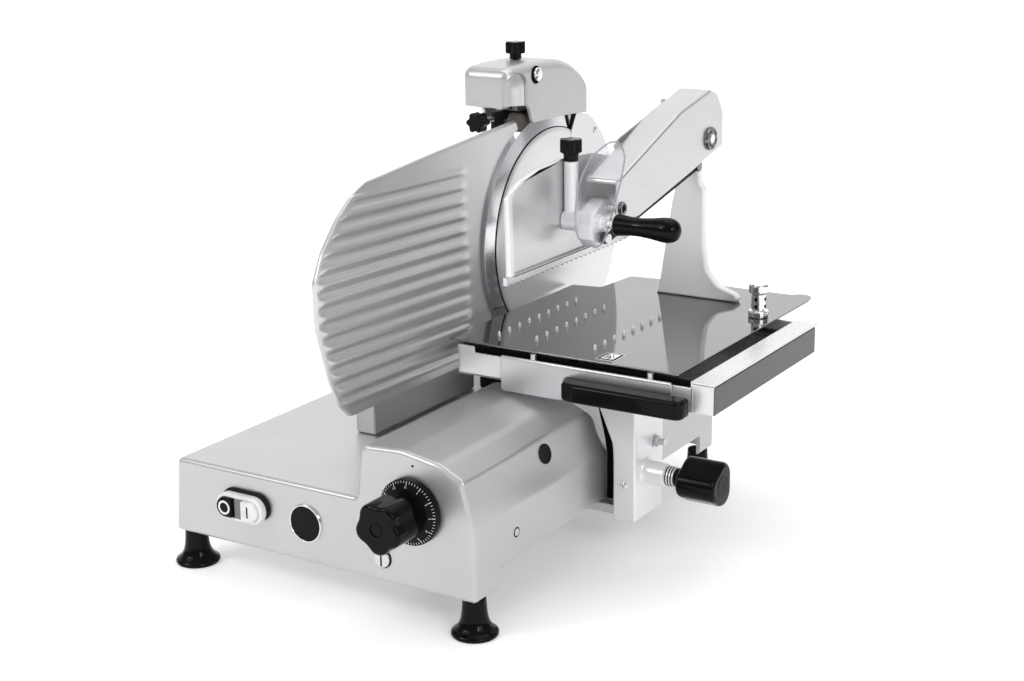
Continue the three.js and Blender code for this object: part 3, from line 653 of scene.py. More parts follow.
def lock_screw():
    at = middle_xz("dial_lock_screw")
    p = Piece("lock_screw_head", "base", STEEL, "dial_lock_screw", slot="chrome_parts")
    p.lathe("y", at, [(0, -4), (10.2, -4), (11.2, -3), (11.4, -0.2), (0, -0.2)], 48, 0.6)
    p.done()
    dark = Piece("lock_screw_slot", "base", GAP_SHADE)
    dark.box((at[0] - 1.1, at[0] + 1.1), (-4.3, -3.6), (at[1] - 9, at[1] + 9), 0.1, axis="y")
    dark.tube("y", at, 11.3, 12.6, -0.9, -0.1, 48)
    dark.done()


def dial():
    at = middle_xz("dial_ring")
    Piece("dial_scale", "dial", BLACK_SATIN, "dial_ring").lathe("y", at, [
        (8, -1), (40, -1), (41, -2), (41, -8.6), (40, -9.6), (29.4, -13.8), (28, -13.9), (8, -13.9),
        (8, -1),
    ], 96).done()
    marks = Piece("dial_marks", "dial", MARKING)
    slope, count, outer, depth = 4.2 / 10.6, 60, 39.4, -9.97
    for k in range(count):
        a = 2 * math.pi * k / count
        long, half = (4.6, 0.34) if k % 5 == 0 else (2.6, 0.24)
        r0, r1 = outer - long, outer
        d0, d1 = depth - long * slope, depth
        c, s = math.cos(a), math.sin(a)
        quad = []
        for r, w, d in ((r0, -half, d0), (r1, -half, d1), (r1, half, d1), (r0, half, d0)):
            quad.append((at[0] + r * c - w * s, d, at[1] + r * s + w * c))
        marks.rings([quad, [(q[0], q[1] + 0.5, q[2]) for q in quad]])
    marks.done()
    hours, number_radius, number_depth = 12, 32.2, -12.9
    for k in range(hours):
        dial_number(str(k), at, number_radius, math.pi / 2 - 2 * math.pi * k / hours, number_depth)
    knob = Piece("dial_grip", "dial", BLACK, "dial_knob")
    knob.slab("y", lobes(*at, 32, 5, 4.6, 16, 0.94), -72, -30, 5, 6)
    knob.lathe("y", at, [(0, -34), (26, -34), (26, -31), (24.6, -28), (24.6, -14.4), (0, -14.4)], 72, 1.5)
    knob.cut(tool().lathe("y", at, [(0, -80), (9, -80), (9, -70.4), (6, -69.6), (0, -69.4)], 48))
    knob.done()
    cap = Piece("dial_grip_cap", "dial", BLACK_SATIN)
    cap.lathe("y", at, [(0, -71.2), (6.8, -71), (7.8, -70), (7.8, -68.6), (0, -68.6)], 40)
    cap.done()


def dial_number(text, at, radius, angle, depth):
    curve = bpy.data.curves.new(f"dial_number_{text}", "FONT")
    curve.body = text
    curve.size = 5.2 * MM
    curve.extrude = 0.15 * MM
    curve.align_x = "CENTER"
    curve.align_y = "CENTER"
    obj = linked(curve.name, curve)
    mesh = bpy.data.meshes.new_from_object(obj)
    bpy.data.objects.remove(obj)
    out = linked(f"dial_number_{text}", mesh)
    centre = place((at[0] + radius * math.cos(angle), depth, at[1] + radius * math.sin(angle)))
    upright = Matrix.Rotation(math.pi / 2, 4, "X")
    turn = Matrix.Rotation(math.pi / 2 - angle, 4, "Y")
    out.data.transform(Matrix.Translation(centre) @ turn @ upright)
    paint(out, MARKING)
    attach(out, "dial")


def base_fittings():
    plug = Piece("housing_plug", "base", RUBBER, slot="belt_rubber")
    tilt = Matrix.Rotation(math.radians(-15), 4, "Y")
    plug.lathe("x", PLUG, [
        (0, -12), (12.4, -12), (12.6, -8.2), (11.8, -7.4), (9.4, -7.3), (8.4, -8.2), (0, -8.4),
    ], 48)
    plug.done(about((-8, *PLUG), tilt) @ Matrix.Translation((0.6 * MM, 0, 0)))
    hole = Piece("side_screw", "base", STEEL)
    hole.lathe("x", SIDE_SCREW, [(0, -2), (4.9, -2), (4.7, 0.5), (3.4, 0.9), (2.0, 0.5), (0, 0.4)], 32)
    hole.done()
    # Near-black discs round the side screw and in a small hole on the housing front: painted shade in their
    # recesses.
    dark = Piece("screw_and_hole_shade", "base", GAP_SHADE)
    dark.rod("x", SIDE_SCREW, 6.4, -1, 0.12, 32)
    dark.rod("y", (-83, 157), 1.6, 1, -0.15, 24)
    dark.done()
    # A flush near-black strip on the deck beside the gauge carrier: painted shade.
    Piece("deck_shade_line", "base", GAP_SHADE).box((-277, -275.4), (190, 384), (100, 102.15), 0.2).done()
    gland = Piece("cord_inlet", "base", DARK, "cable_gland")
    y = BASE_BACK
    gland.lathe("y", (-400, 45), [
        (4, y - 2), (4, y + 24), (7.2, y + 24), (8.8, y + 10), (12, y + 7), (12, y + 0.2), (8, y - 2),
        (4, y - 2),
    ], 40)
    gland.done()


# ---- gauge plate

GAUGE_FACE, GAUGE_BACK = span("gauge_plate")[1].x, span("gauge_plate")[0].x
BLADE_FACE = span("blade_disc")[1].x
BLADE_Y, BLADE_Z = 531.0, 319.0


def gauge_plate():
    """Rows of points between the outer outline and the blade's notch, raised into soft ribs."""
    left = [
        (60, 178), (42, 194), (24, 231), (3, 302), (2, 358), (16, 389), (48, 424), (80, 448), (112, 461),
        (262, 475), (451, 489),
    ]
    reach = 174.0                          # radius of the notch
    rows, columns = 250, 72
    z0, z1 = 178.0, 489.0                  # foot and top of the plate
    corner, bevel = 476.5, 448             # where the notch ends, and where the bevelled top begins
    pitch, first, rib_height, rib_end = 19.6, 214, 3.0, 323

    def left_at(z):
        for (ya, za), (yb, zb) in zip(left, left[1:]):
            if za <= z <= zb:
                return ya + (yb - ya) * (z - za) / (zb - za)
        return left[-1][0]

    def right_at(z):
        if z > corner:
            return 457 - (z - corner) * 0.48
        return BLADE_Y - math.sqrt(max(0, reach ** 2 - (z - BLADE_Z) ** 2))

    smooth_left = [left_at(z0 + (z1 - z0) * i / rows) for i in range(rows + 1)]
    for _ in range(10):
        for i in range(1, int(rows * 0.84)):
            smooth_left[i] = (smooth_left[i - 1] + 2 * smooth_left[i] + smooth_left[i + 1]) / 4
    grid = []
    for i in range(rows + 1):
        z = z0 + (z1 - z0) * i / rows
        y0, y1 = smooth_left[i], right_at(z)
        line = []
        for k in range(columns + 1):
            t = k / columns
            t = 0.5 - 0.5 * math.cos(math.pi * t) if t < 0.5 else t
            y = y0 + (y1 - y0) * t
            phase = (z - first + 0.03 * (y - 60)) / pitch
            wave = 0.5 + 0.5 * math.cos(2 * math.pi * phase)
            rib = min(1.0, max(0.0, (wave - 0.10) * 1.2)) ** 0.8
            fade_y = 1 / (1 + math.exp((y - rib_end + 4 * math.sin(z * 0.02)) / 3.2))
            fade_z = min(1, max(0, (z - 188) / 12)) * min(1, max(0, (452 - z) / 14))
            edge = max(0.0, 1 - (y - y0) / 5.0)
            inside = min(1.0, max(0.0, (y - y0 - 5) / 9.0))
            top = 1 if z < bevel else max(0.0, 1 - (y - y0) * 0.07 / 4)
            drop = 4.2 * (1 - math.sqrt(max(0, 1 - edge ** 2)))
            if z > bevel:
                drop = 3.0 * (1 - math.sqrt(max(0, 1 - top ** 2)))
            line.append((GAUGE_FACE - 3 - drop + rib_height * rib * fade_y * fade_z * inside ** 0.7, y, z))
        grid.append(line)
    p = Piece("gauge_face", "gauge", RIBBED, "gauge_plate", smooth=50)
    front = [[p.vert(q) for q in line] for line in grid]
    back = [[p.vert((GAUGE_BACK, q[1], q[2])) for q in (line[0], line[-1])] for line in grid]
    thin_strip = Piece("gauge_lip", "gauge", CAST)
    thin_strip.slab("x", arc(BLADE_Y, BLADE_Z, reach + 1, 118, 232, 40) + arc(BLADE_Y, BLADE_Z, 150, 232, 118, 40),
             GAUGE_BACK - 0.2, GAUGE_BACK + 1.4, 0.3, 2)
    thin_strip.done()
    face = p.bm.faces.new
    for i in range(rows):
        for k in range(columns):
            face((front[i][k], front[i][k + 1], front[i + 1][k + 1], front[i + 1][k]))
        face((back[i][0], back[i + 1][0], back[i + 1][1], back[i][1]))
        face((front[i][0], front[i + 1][0], back[i + 1][0], back[i][0]))
        face((front[i][-1], back[i][1], back[i + 1][1], front[i + 1][-1]))
    face([*front[0][::-1], back[0][0], back[0][1]])
    face([*front[-1], back[-1][1], back[-1][0]])
    p.done()


def gauge_bracket():
    p = Piece("gauge_carrier", "gauge", CAST, "gauge_bracket")
    p.box((-312, -280), (192, 432), (DECK + 0.4, 196), 3)
    p.box((-282, -229), (192, 340), (180, 192), 2.5)
    p.box((-231, GAUGE_BACK - 0.3), (192, 340), (180, 262), 2)
    p.box((-301, -287), (252, 274), (30, DECK + 2), 1.5)
    p.box((-290, -60), (256, 270), (73, 86), 1.5)
    p.done()


# ---- blade and drive

BLADE_AXIS = (BLADE_Y, BLADE_Z)


def blade():
    f = BLADE_FACE
    Piece("blade_round", "blade", BLADE_STEEL, "blade_disc").lathe("x", BLADE_AXIS, [
        (5.6, f - 5), (169.2, f - 5), (170, f - 4.6), (169.6, f - 4.2), (151.5, f - 0.2), (149, f - 0.4),
        (146, f - 2.6), (5.6, f - 2.6), (5.6, f - 5),
    ], 160).done()
    Piece("blade_cover_plate", "base", CAST_SMOOTH, "blade_cover").lathe("x", BLADE_AXIS, [
        (0, f + 4), (60, f + 4), (120, f + 3.8), (143, f + 3.2), (147.5, f + 2.4), (149.2, f + 1.2),
        (149, f + 0.3), (145, f - 0.4), (144, f - 2), (0, f - 2),
    ], 160).done()
    Piece("blade_hub", "blade", STEEL, "blade_shaft").lathe("x", BLADE_AXIS, [
        (5.2, -318), (12.2, -318), (12.2, -222), (34, -222), (34, f - 5.3), (5.2, f - 5.3), (5.2, -318),
    ], 48, 0.6).done()
    Piece("blade_pulley_wheel", "blade", CAST_SMOOTH, "blade_pulley").lathe("x", BLADE_AXIS, [
        (12.5, -301), (34, -301), (34, -299.6), (33.4, -299), (33.4, -287), (34, -286.4), (34, -285),
        (12.5, -285), (12.5, -301),
    ], 64).done()


def guard():
    """The fixed guard round the blade's rear half, lying on the cover's rim."""
    f = BLADE_FACE
    p = Piece("blade_guard_ring", "base", CAST_SMOOTH, "blade_guard")
    panel = arc(*BLADE_AXIS, 186, -55.8, 57.0, 44) + [(612, 479), (596.6, 482), (582.5, 459.4)]
    panel += arc(*BLADE_AXIS, 118, 69.0, -55.8, 44)
    p.slab("x", panel, f + 0.4, f + 3.9, 0.3)
    rim = arc(*BLADE_AXIS, 186, -55.8, 55.8, 40) + arc(*BLADE_AXIS, 176, 55.8, -55.8, 40)
    p.slab("x", rim, -246, f + 3.7, 1.0)
    p.box((-246, -226), (598.7, 662), (196, 214), 1.5)
    p.done()
    seam = Piece("cover_seam", "base", GAP_SHADE)
    seam.slab("x", arc(*BLADE_AXIS, 150.8, 69.6, 304.0, 90) + arc(*BLADE_AXIS, 149.2, 304.0, 69.6, 90),
              f - 0.1, f + 0.5, 0)
    seam.slab("x", [(580.0, 459.6), (582.3, 459.2), (596.2, 482.6), (588, 484)], f - 0.1, f + 2.8, 0)
    seam.done()
    rivet = Piece("guard_rivet", "base", STEEL)
    a = math.radians(48)
    at = (BLADE_Y + 176 * math.cos(a), BLADE_Z + 176 * math.sin(a))
    rivet.lathe("x", at, [(0, f + 6.2), (2.8, f + 6.0), (4.6, f + 4.6), (5.0, f + 3.6), (0, f + 3.6)], 32)
    rivet.done()


def support():
    outline = [
        (444, DECK + 0.3, 3), (612, DECK + 0.3, 3), (590, 250, 60), (586, 470, 4), (530, 470, 8),
        (524, 372, 12), (500, 362, 20), (482, 335, 20), (481, 305, 20), (474, 240, 40),
    ]
    # The pillar takes the darkened casting: painted shade behind the blade.
    p = Piece("blade_pillar", "base", DARK_CAST, "blade_support")
    p.slab("x", fillet(outline, 6), -274, -226, 4, 4)
    p.tube("x", BLADE_AXIS, 26, 50, -274, -226, 72, 2)
    p.box((-262, -226), (540, 584), (468, 508), 2)
    p.box((-262, -226), (470, 606), (498, 508), 2)
    p.bore("x", BLADE_AXIS, 26, -280, -220, 64)
    p.done()
    Piece("pillar_skirt", "base", DARK).box((-276, -226), (437, 500), (DECK + 0.1, 128), 3).done()
    cartridge = Piece("bearing_ring", "base", STEEL, "bearing_cartridge")
    cartridge.tube("x", BLADE_AXIS, 12.6, 25.6, -270, -230, 56, 0.8)
    cartridge.done()


def drive():
    top = BLADE_AXIS
    deck = DECK + 0.4
    reach = 47.0

    def arch(r, foot):
        return arc(*top, r, 0, 180, 32) + [(top[0] - r, foot), (top[0] + r, foot)]

    cover = Piece("belt_housing", "base", CAST, "belt_cover")
    cover.slab("x", arch(reach, deck), -330, -274.3, 1, 5, r_lo=9, r_hi=0.5)
    room = tool()
    room.slab("x", arch(reach - 3.5, deck - 5), -326.5, -270, 6, 4, r_hi=0)
    room.rod("x", top, 10, -340, -320, 40)
    cover.cut(room)
    cover.done()
    for z in (150, 250, 345):
        for y in (top[0] - 41, top[0] + 41):
            screw_head(f"belt_housing_screw_{z}_{int(y)}", "base", "x", (y, z), -329.4, 3.2, -1, STEEL)
    tie = Piece("cover_tie_grip", "cover_tie", BLACK, "cover_tie_knob")
    tie.lathe("x", top, [
        (0, -346), (9, -346), (9, -331), (4.8, -331), (4.8, -210.4), (0, -210.4),
    ], 32, 0.5)
    tie.slab("x", lobes(*top, 20, 6, 3.4, 12), -362, -345, 3, 4)
    tie.done()
    motor_axis = (BLADE_Y + 1, 51)
    motor = Piece("motor_body", "base", MOTOR, "drive_motor")
    motor.lathe("x", motor_axis, [
        (0, -270), (30, -270), (38, -262), (38, -158), (30, -150), (0, -150),
    ], 56, 3)
    motor.box((-262, -158), (motor_axis[0] - 44, motor_axis[0] + 44), (12, 22), 1.5)
    motor.done()
    Piece("motor_pulley_wheel", "motor_pulley", CAST_SMOOTH, "motor_pulley").lathe("x", motor_axis, [
        (0, -301), (18, -301), (18, -285), (7, -285), (7, -270.3), (0, -270.3),
    ], 48, 0.5).done()


def screw_head(name, body, axis, at, face, radius, out, mat):
    """A small screw standing `out` (+1 or -1) from a face, with a hex socket."""
    h = radius * 0.55 * out
    p = Piece(name, body, mat, slot="machined_steel")
    p.lathe(axis, at, [
        (0, face + h * 0.92), (radius * 0.7, face + h), (radius, face + h * 0.6), (radius, face - h),
        (0, face - h),
    ], 28)
    socket = sorted((face + h * 0.35, face + h * 3))
    p.cut(tool().slab(axis, circle(*at, radius * 0.46, 6), *socket, 0))
    p.done()


# ---- sharpener

HOOD_LEFT, HOOD_RIGHT = -281.0, -202.0
HOOD_FRONT, HOOD_BACK = 414.0, 632.0


def resample(points, count):
    """Even spacing along a closed outline."""
    pts = [Vector(p) for p in points] + [Vector(points[0])]
    steps = [(b - a).length for a, b in zip(pts, pts[1:])]
    total, out, i, gone = sum(steps), [], 0, 0.0
    for k in range(count):
        want = total * k / count
        while gone + steps[i] < want:
            gone += steps[i]
            i += 1
        out.append(tuple(pts[i].lerp(pts[i + 1], (want - gone) / max(steps[i], 1e-9))))
    return out


def along(table, y):
    """Reads a height from a table of (y, z) points, straight between them."""
    for (ya, za), (yb, zb) in zip(table, table[1:]):
        if ya <= y <= yb:
            return za + (zb - za) * (y - ya) / (yb - ya)
    return table[0][1] if y < table[0][0] else table[-1][1]


def sharpener_hood():
    """A thin domed casting with a scooped arch at its front right corner."""
    crown, fall_from = 565.5, 536.0
    lower = [
        (414, 510.5), (462, 508.5), (472, 484), (500, 484), (560, 483), (600, 481), (626, 479),
        (632, 486),
    ]
    plan = ccw(resample(fillet([
        (HOOD_LEFT, HOOD_FRONT, 14), (HOOD_RIGHT, HOOD_FRONT, 17), (HOOD_RIGHT, HOOD_BACK, 14),
        (HOOD_LEFT, HOOD_BACK, 14),
    ], 8, 6), 180))
    rim = 13.0
    middle = (HOOD_LEFT + HOOD_RIGHT) / 2

    def top(y):
        if y < 470:
            return crown - 4 * ((470 - y) / 56) ** 2
        sag = 2.4 * ((y - 470) / 75) ** 2
        if y > fall_from:
            return crown - sag - 60 * (1 - math.sqrt(max(0, 1 - ((y - fall_from) / 100) ** 2)))
        return crown - sag

    rings = [[(x, y, along(lower, y)) for x, y in plan]]
    for share in (0.35, 0.7):
        rings.append([(x, y, along(lower, y) * (1 - share) + (top(y) - rim) * share) for x, y in plan])
    for k in range(8):
        a = math.pi / 2 * k / 7
        ring = inset(plan, rim * (1 - math.cos(a)))
        rings.append([(x, y, max(along(lower, y) + 1, top(y) - rim * (1 - math.sin(a)))) for x, y in ring])
    last = rings[-1]
    for s in (0.35, 0.7, 1.0):
        ring = []
        for x, y, _ in last:
            yy = min(max(y, HOOD_FRONT + 38), HOOD_BACK - 30)
            y2 = y * (1 - s) + yy * s
            ring.append((x * (1 - s) + middle * s, y2, top(y2)))
        rings.append(ring)
    p = Piece("sharpener_hood", "base", CAST, "sharpener_cover", smooth=45)
    p.rings(rings, cap=False)
    p.wall = 4.2
    p.cut(scoop_tool(0.0))
    p.done()
    lining = Piece("hood_scoop", "base", LIT_SATIN)
    lining.box((-262, HOOD_RIGHT - 5), (HOOD_FRONT + 5, 470), (508.6, 560), 1.0)
    lining.cut(scoop_tool(0.4))
    lining.done()


def scoop_tool(shrink):
    """The arched scoop: an upright round bore closed by a dome."""
    centre, radius, spring, apex = (-196, 434), 27.5 - shrink, 530.0, 557.0
    profile = [(0, 490), (radius, 490), (radius, spring)]
    for k in range(1, 9):
        a = math.pi / 2 * k / 8
        profile.append((radius * math.cos(a), spring + (apex - spring) * math.sin(a)))
    return tool().lathe("z", centre, profile, 64)


SIDE_KNOB = (-250, 490)                    # stone feed knob, as (x, z)


def knob(name, body, node, axis, at, ends, radius, depth, *bars):
    """A six-lobed clamp knob; each bar of its stem is (radius, from, to, segments, rounding)."""
    p = Piece(name, body, BLACK, node)
    p.slab(axis, lobes(*at, radius, 6, depth, 14), *ends, 2.2, 5)
    for bar in bars:
        p.rod(axis, at, *bar)
    p.done()


def sharpener_parts():
    knob("sharpener_top_grip", "sharpener_lock", "sharpener_top_knob", "z", (-246, 500), (574, 590), 15, 3.4,
         (4.8, 508.3, 576, 28, 0.3), (8.4, 566.2, 575, 40, 0.9))
    knob("sharpener_side_grip", "stone_feed_knob", "sharpener_side_knob", "y", SIDE_KNOB,
         (399, 418), 14.2, 3.2, (4, 416, 443.7, 28, 0.3), (6.5, 415, 423, 40, 0.9))
    Piece("side_grip_stem", "stone_feed_knob", CHROME).rod("y", SIDE_KNOB, 4.4, 423, 443, 32, 0.4).done()
    carrier = Piece("stone_holder", "stone_feed", DARK, "stone_carrier", slot="motor_paint")
    carrier.box((-253, -247), (444, 532), (470, 497.7), 1)
    carrier.done()
    for name, at, radius, width in (
        ("grinding_stone", (471, 483), 13, 18), ("honing_stone", (505, 483), 12, 12),
    ):
        lo, hi = span(name)
        face, seat = hi.x, lo.x
        Piece(name + "_wheel", name, STONE, name).lathe("x", at, [
            (0, seat), (4, seat), (4, face - width), (radius, face - width), (radius, face - 2),
            (radius - 2, face), (0, face),
        ], 56, 0.4).done()
    hanger = Piece("sharpener_hanger", "base", BLACK_SATIN, slot="machined_steel")
    hanger.box((-240, -232), (470, 520), (500, 512), 1.5)
    hanger.done()
    # A near-black disc behind the hood screw: painted shade in its recess.
    eye = Piece("hood_screw_recess_shade", "base", GAP_SHADE)
    eye.lathe("x", (481.5, 548.5), [(0, -202.5), (12.4, -202.5), (12.4, -201.75), (0, -201.7)], 40)
    eye.done()
    screw = Piece("hood_screw", "base", CHROME)
    screw.lathe("x", (484, 549), [
        (0, -196.4), (6, -196.8), (9.2, -198.6), (9.8, -202.4), (0, -202.4),
    ], 36, 0.5)
    screw.cut(tool().box((-197.6, -195), (473, 496), (548.2, 549.8), 0.1))
    screw.done()


# ---- carriage

RAIL = (-60, 48)                           # guide rail, as (x, z)
ROLLER = (332, 48)                         # track roller, as (y, z)


def carriage():
    left, right, front, back, bottom = 21, 54, 293, 371, 10
    top = 189.7
    face = [
        (left, bottom, 4), (right, bottom, 4), (right, top, 0), (-4, top, 0), (-4, 168, 12), (8, 140, 30),
        (left - 1, 112, 30), (left, 90, 20),
    ]
    p = Piece("column_casting", "carriage", COLUMN_CAST, "carriage_column")
    p.slab("y", fillet(face, 4, 6), front, back, 3.5, 4)
    axis = (322, 72)
    p.lathe("x", axis, [
        (0, right - 6), (19.5, right - 6), (18.5, right + 1.2), (16.4, right + 3), (15.4, right + 6),
        (15.4, 84), (14, 85.4), (12.6, 86), (12.6, 98), (0, 98),
    ], 64, 0.6)
    p.done()
    # A thin near-black strip along the housing's profile beside the column: painted shade in the gap between
    # column and housing wall.
    thin_strip = Piece("column_gap_shade", "carriage", GAP_SHADE)
    near = [(0.7, 28), (0.7, 92), (-2.6, 112), (-12.4, 150.6), (-34, 162)]
    far = [(-3, 172), (9, 143), (22, 112), (22, 28)]
    thin_strip.slab("y", near + far, front + 22, front + 25, 0.3, 2)
    thin_strip.done()
    grooves = Piece("column_collar_grooves", "carriage", GAP_SHADE)
    for a in (86.6, 90.4, 94.2):
        grooves.tube("x", axis, 11, 12.9, a, a + 1.6, 56)
    grooves.done()
    grip = Piece("column_grip", "column_clamp", BLACK, "column_knob")
    grip.lathe("x", axis, [
        (0, 98.3), (12, 98.3), (13, 104), (17, 110), (20, 113), (20, 118), (0, 118),
    ], 48, 1)
    grip.slab("x", lobes(*axis, 30.5, 3, 5.6, 24, 1.05), 109, 163, 6, 6)
    grip.done()
    Piece("column_grip_cap", "column_clamp", BLACK_SATIN).lathe("x", axis, [
        (1.6, 162.6), (1.6, 163.4), (14.5, 163.5), (15.6, 162.4), (1.6, 162.4), (1.6, 162.6),
    ], 56).done()
    shoe = Piece("carriage_shoe", "carriage", CAST, "carriage_arm")
    shoe.box((-84, 20.7), (300, 364), (13, 26), 2)
    shoe.box((-84, -36), (300, 364), (13, 66), 2)
    shoe.rod("x", ROLLER, 5, -106, -80, 24)
    shoe.bore("y", RAIL, 10.3, 290, 380, 40)
    shoe.done()
    rail = Piece("guide_rail", "base", STEEL, "carriage_rail")
    rail.lathe("y", RAIL, [(0, 8.3), (9, 8.3), (10, 9.3), (10, 628.7), (9, 629.7), (0, 629.7)], 48)
    rail.done()
    roller = Piece("track_roller_wheel", "roller", STEEL, "track_roller")
    roller.rod("x", ROLLER, 10, -117, -106.3, 40, 0.8)
    roller.done()
    hexagon = Piece("column_side_bolt", "carriage", STEEL)
    at = (346.5, 106.6)
    hexagon.lathe("x", at, [
        (0, right - 1), (9.4, right - 1), (9.4, right + 1), (0, right + 1.1),
    ], 40, 0.3)
    hexagon.slab("x", circle(*at, 7.4, 6), right, right + 7, 0.7)
    hexagon.rod("x", at, 4.6, right + 6, right + 15, 28, 0.6)
    hexagon.done()
    screw_head("column_front_screw", "carriage", "y", (37.5, 59.1), front, 4.8, -1, CHROME)


def tray():
    left, right, front, back, low, top, w = -181, 185, 245, 558, 190, 229, 3
    well = right - 29
    p = Piece("tray_pan", "carriage", TRAY_SHEET, "tray_frame")
    p.box((left, well), (front, back), (low, low + w), 0.8)
    p.box((left, left + w), (front, back), (low, top), 1)
    p.box((left, well), (back - w, back), (low, top), 1)
    p.box((well - w, well), (front, back), (low, top), 0.8)
    p.slab("y", fillet([
        (left, low), (well, low), (well, top), (well - 1.5, top), (well - 1.5, 221), (-156, 221),
        (-156, top), (left, top),
    ], 1.5, 3), front, front + w, 0.9)
    p.done()
    Piece("tray_slot_rod", "carriage", CHROME).rod("x", (251, 223.4), 1.9, -158, -107, 28, 0.5).done()
    lid = Piece("tray_side_lid", "carriage", TRAY_SHEET)
    lid.box((well - 0.5, right + 0.3), (front - 0.3, back + 7), (top - 2.6, top), 0.9)
    lid.done()
    # The right side sheet is the darkened brushed stainless: painted reflection and shade.
    side = Piece("tray_side_box", "carriage", SHADED_SIDE_SHEET)
    side.box((right - w, right - 0.6), (front + 0.2, back), (low, top - 4.2), 0.9)
    side.done()
    end = Piece("tray_side_ends", "carriage", TRAY_SHEET)
    end.box((well - 1, right - 0.8), (front + 0.1, front + w), (low, top - 3.2), 0.9)
    end.box((well, right - 0.8), (back - w, back), (low, top - 4.2), 0.9)
    end.box((well, right - 21), (front, back), (low, low + w), 0.9)
    end.done()
    # Near-black sheets under the side lid, behind the front wall and on the pan's floor: painted shade inside
    # the tray.
    gap = Piece("tray_gap_shade", "carriage", GAP_SHADE)
    gap.box((well, right - 2), (front + 1.2, back - 10), (top - 4.4, top - 2.4), 0.2)
    gap.box((left + 5, well - 5), (front + w + 1, front + w + 2), (low + w, 229), 0.2)
    gap.box((120, well - w - 0.4), (front + w + 1, back - w - 1), (194, 196), 0.2)
    gap.done()
    apron = Piece("apron_sheet", "carriage", BRUSHED_ARM, "apron_bracket")
    apron.slab("y", fillet([
        (-113, 178, 5), (-24, 178, 8), (-12, 190, 8), (40, 192, 6), (130, 198, 3), (130, 224, 2),
        (-113, 224, 2),
    ], 3, 5), front - 5, front - 0.3, 1.2)
    apron.sweep([(-112, front - 2.6, 222.2), (129, front - 2.6, 222.2)], 2.6, 20)
    for x in (-67, 99):
        apron.rod("z", (x, front + 0.5), 4, 221, 231.6, 32, 0.4)
    apron.done()
    bar = Piece("carriage_handle", "carriage", BLACK, "tray_handle")
    y0, y1 = front - 33, front - 5.3
    bar.slab("z", fillet([
        (-20, y1, 0), (-10, y0 + 4, 8), (8, y0, 9), (156, y0, 12), (156, y1, 6),
    ], 4, 6), 187, 211, 5, 5)
    bar.done()
    for side_name, y in (("front", 262), ("rear", 541)):
        rod = Piece(f"plate_rod_{side_name}", "carriage", STEEL, f"tray_rod_{side_name}")
        rod.rod("x", (y, 213), 6.5, -177.7, well - 3.3, 32, 0.8)
        rod.done()
        slider = Piece(f"slider_{side_name}", "table", DARK, f"plate_slider_{side_name}")
        slider.box((-125, -17), (y - 10, y + 10), (204, 231.7), 1.2)
        slider.bore("x", (y, 213), 6.8, -130, -10, 32)
        slider.done()


# ---- table


def table():
    left, right, front, top = -197.8, 136.0, 248.0, 234.5
    back = 667.0
    p = Piece("table_sheet", "table", POLISHED, "table_plate")
    outline = [
        (left, front, 3), (right, front, 3), (right, 650, 8), (right - 3, 668, 8), (right - 11, 677, 6),
        (right - 24, 677, 6), (right - 32, 669, 4), (right - 42, back, 4), (-42, back + 2, 0),
        (-148, back - 10, 6), (-154, 578, 6), (left, 571, 4),
    ]
    p.slab("z", fillet(outline, 3), top - 2.5, top, 0.7)
    p.done()
    teeth = Piece("table_teeth", "table", LIT_SATIN, slot="polished_stainless")
    for x, start, count, pitch in ((-144, 287, 9, 25), (-90, 292, 8, 25.5), (-4, 292, 8, 25.5)):
        for i in range(count):
            y = start + i * pitch
            levels = ((2.3, -0.6), (2.2, 3.0), (1.7, 5.4), (0.7, 6.8))
            teeth.lathe("z", (x, y), [(r, top + h) for r, h in levels], 20)
    teeth.done()
    frame_piece = Piece("table_latch_frame", "table", STEEL, slot="polished_stainless")
    frame_piece.box((15, 43), (257, 289), (top - 0.4, top + 0.35), 0.2)
    frame_piece.done()
    pocket = Piece("table_latch_pocket", "table", GAP_SHADE)
    pocket.box((17.5, 40.5), (259.5, 286.5), (top + 0.1, top + 0.5), 0.1)
    pocket.done()
    peg = Piece("table_latch_peg", "table", CHROME)
    peg.box((20, 38), (262, 284), (top + 0.3, top + 0.9), 0.2)
    peg.lathe("z", (29, 274), [
        (0, top), (4.2, top), (4.2, top + 2.6), (3.2, top + 3.6), (0, top + 3.8),
    ], 32, 0.3)
    peg.done()
    at = (110, 538)
    z = top + 0.3
    Piece("lock_knob_body", "table_lock", CHROME, "table_lock_knob").lathe("z", at, [
        (0, z), (13.2, z), (13.8, z + 1), (13.8, z + 7.6), (12.6, z + 9), (9.6, z + 9.8), (9.6, z + 31.6),
        (12, z + 33), (13.6, z + 34.6), (13.8, z + 43.4), (12.4, z + 45.6), (8, z + 46), (0, z + 46),
    ], 64, 0.7).done()
    holes = Piece("lock_knob_holes", "table_lock", GAP_SHADE)
    for level in (15, 25):
        for sign in (-1, 1):
            near, far = sorted((sign * 8.6, sign * 9.85))
            holes.rod("x", (at[1], z + level), 2.4, at[0] + near, at[0] + far, 20)
            holes.rod("y", (at[0], z + level), 2.4, at[1] + near, at[1] + far, 20)
    holes.done()


# The four pins of the levelling linkage, as (y, z): two on the post and two on the press.
PIVOT, LINK_REAR = (599, 459), (577, 423.7)
ARM_FRONT, LINK_FRONT = (345.8, 407), (323.8, 371.7)


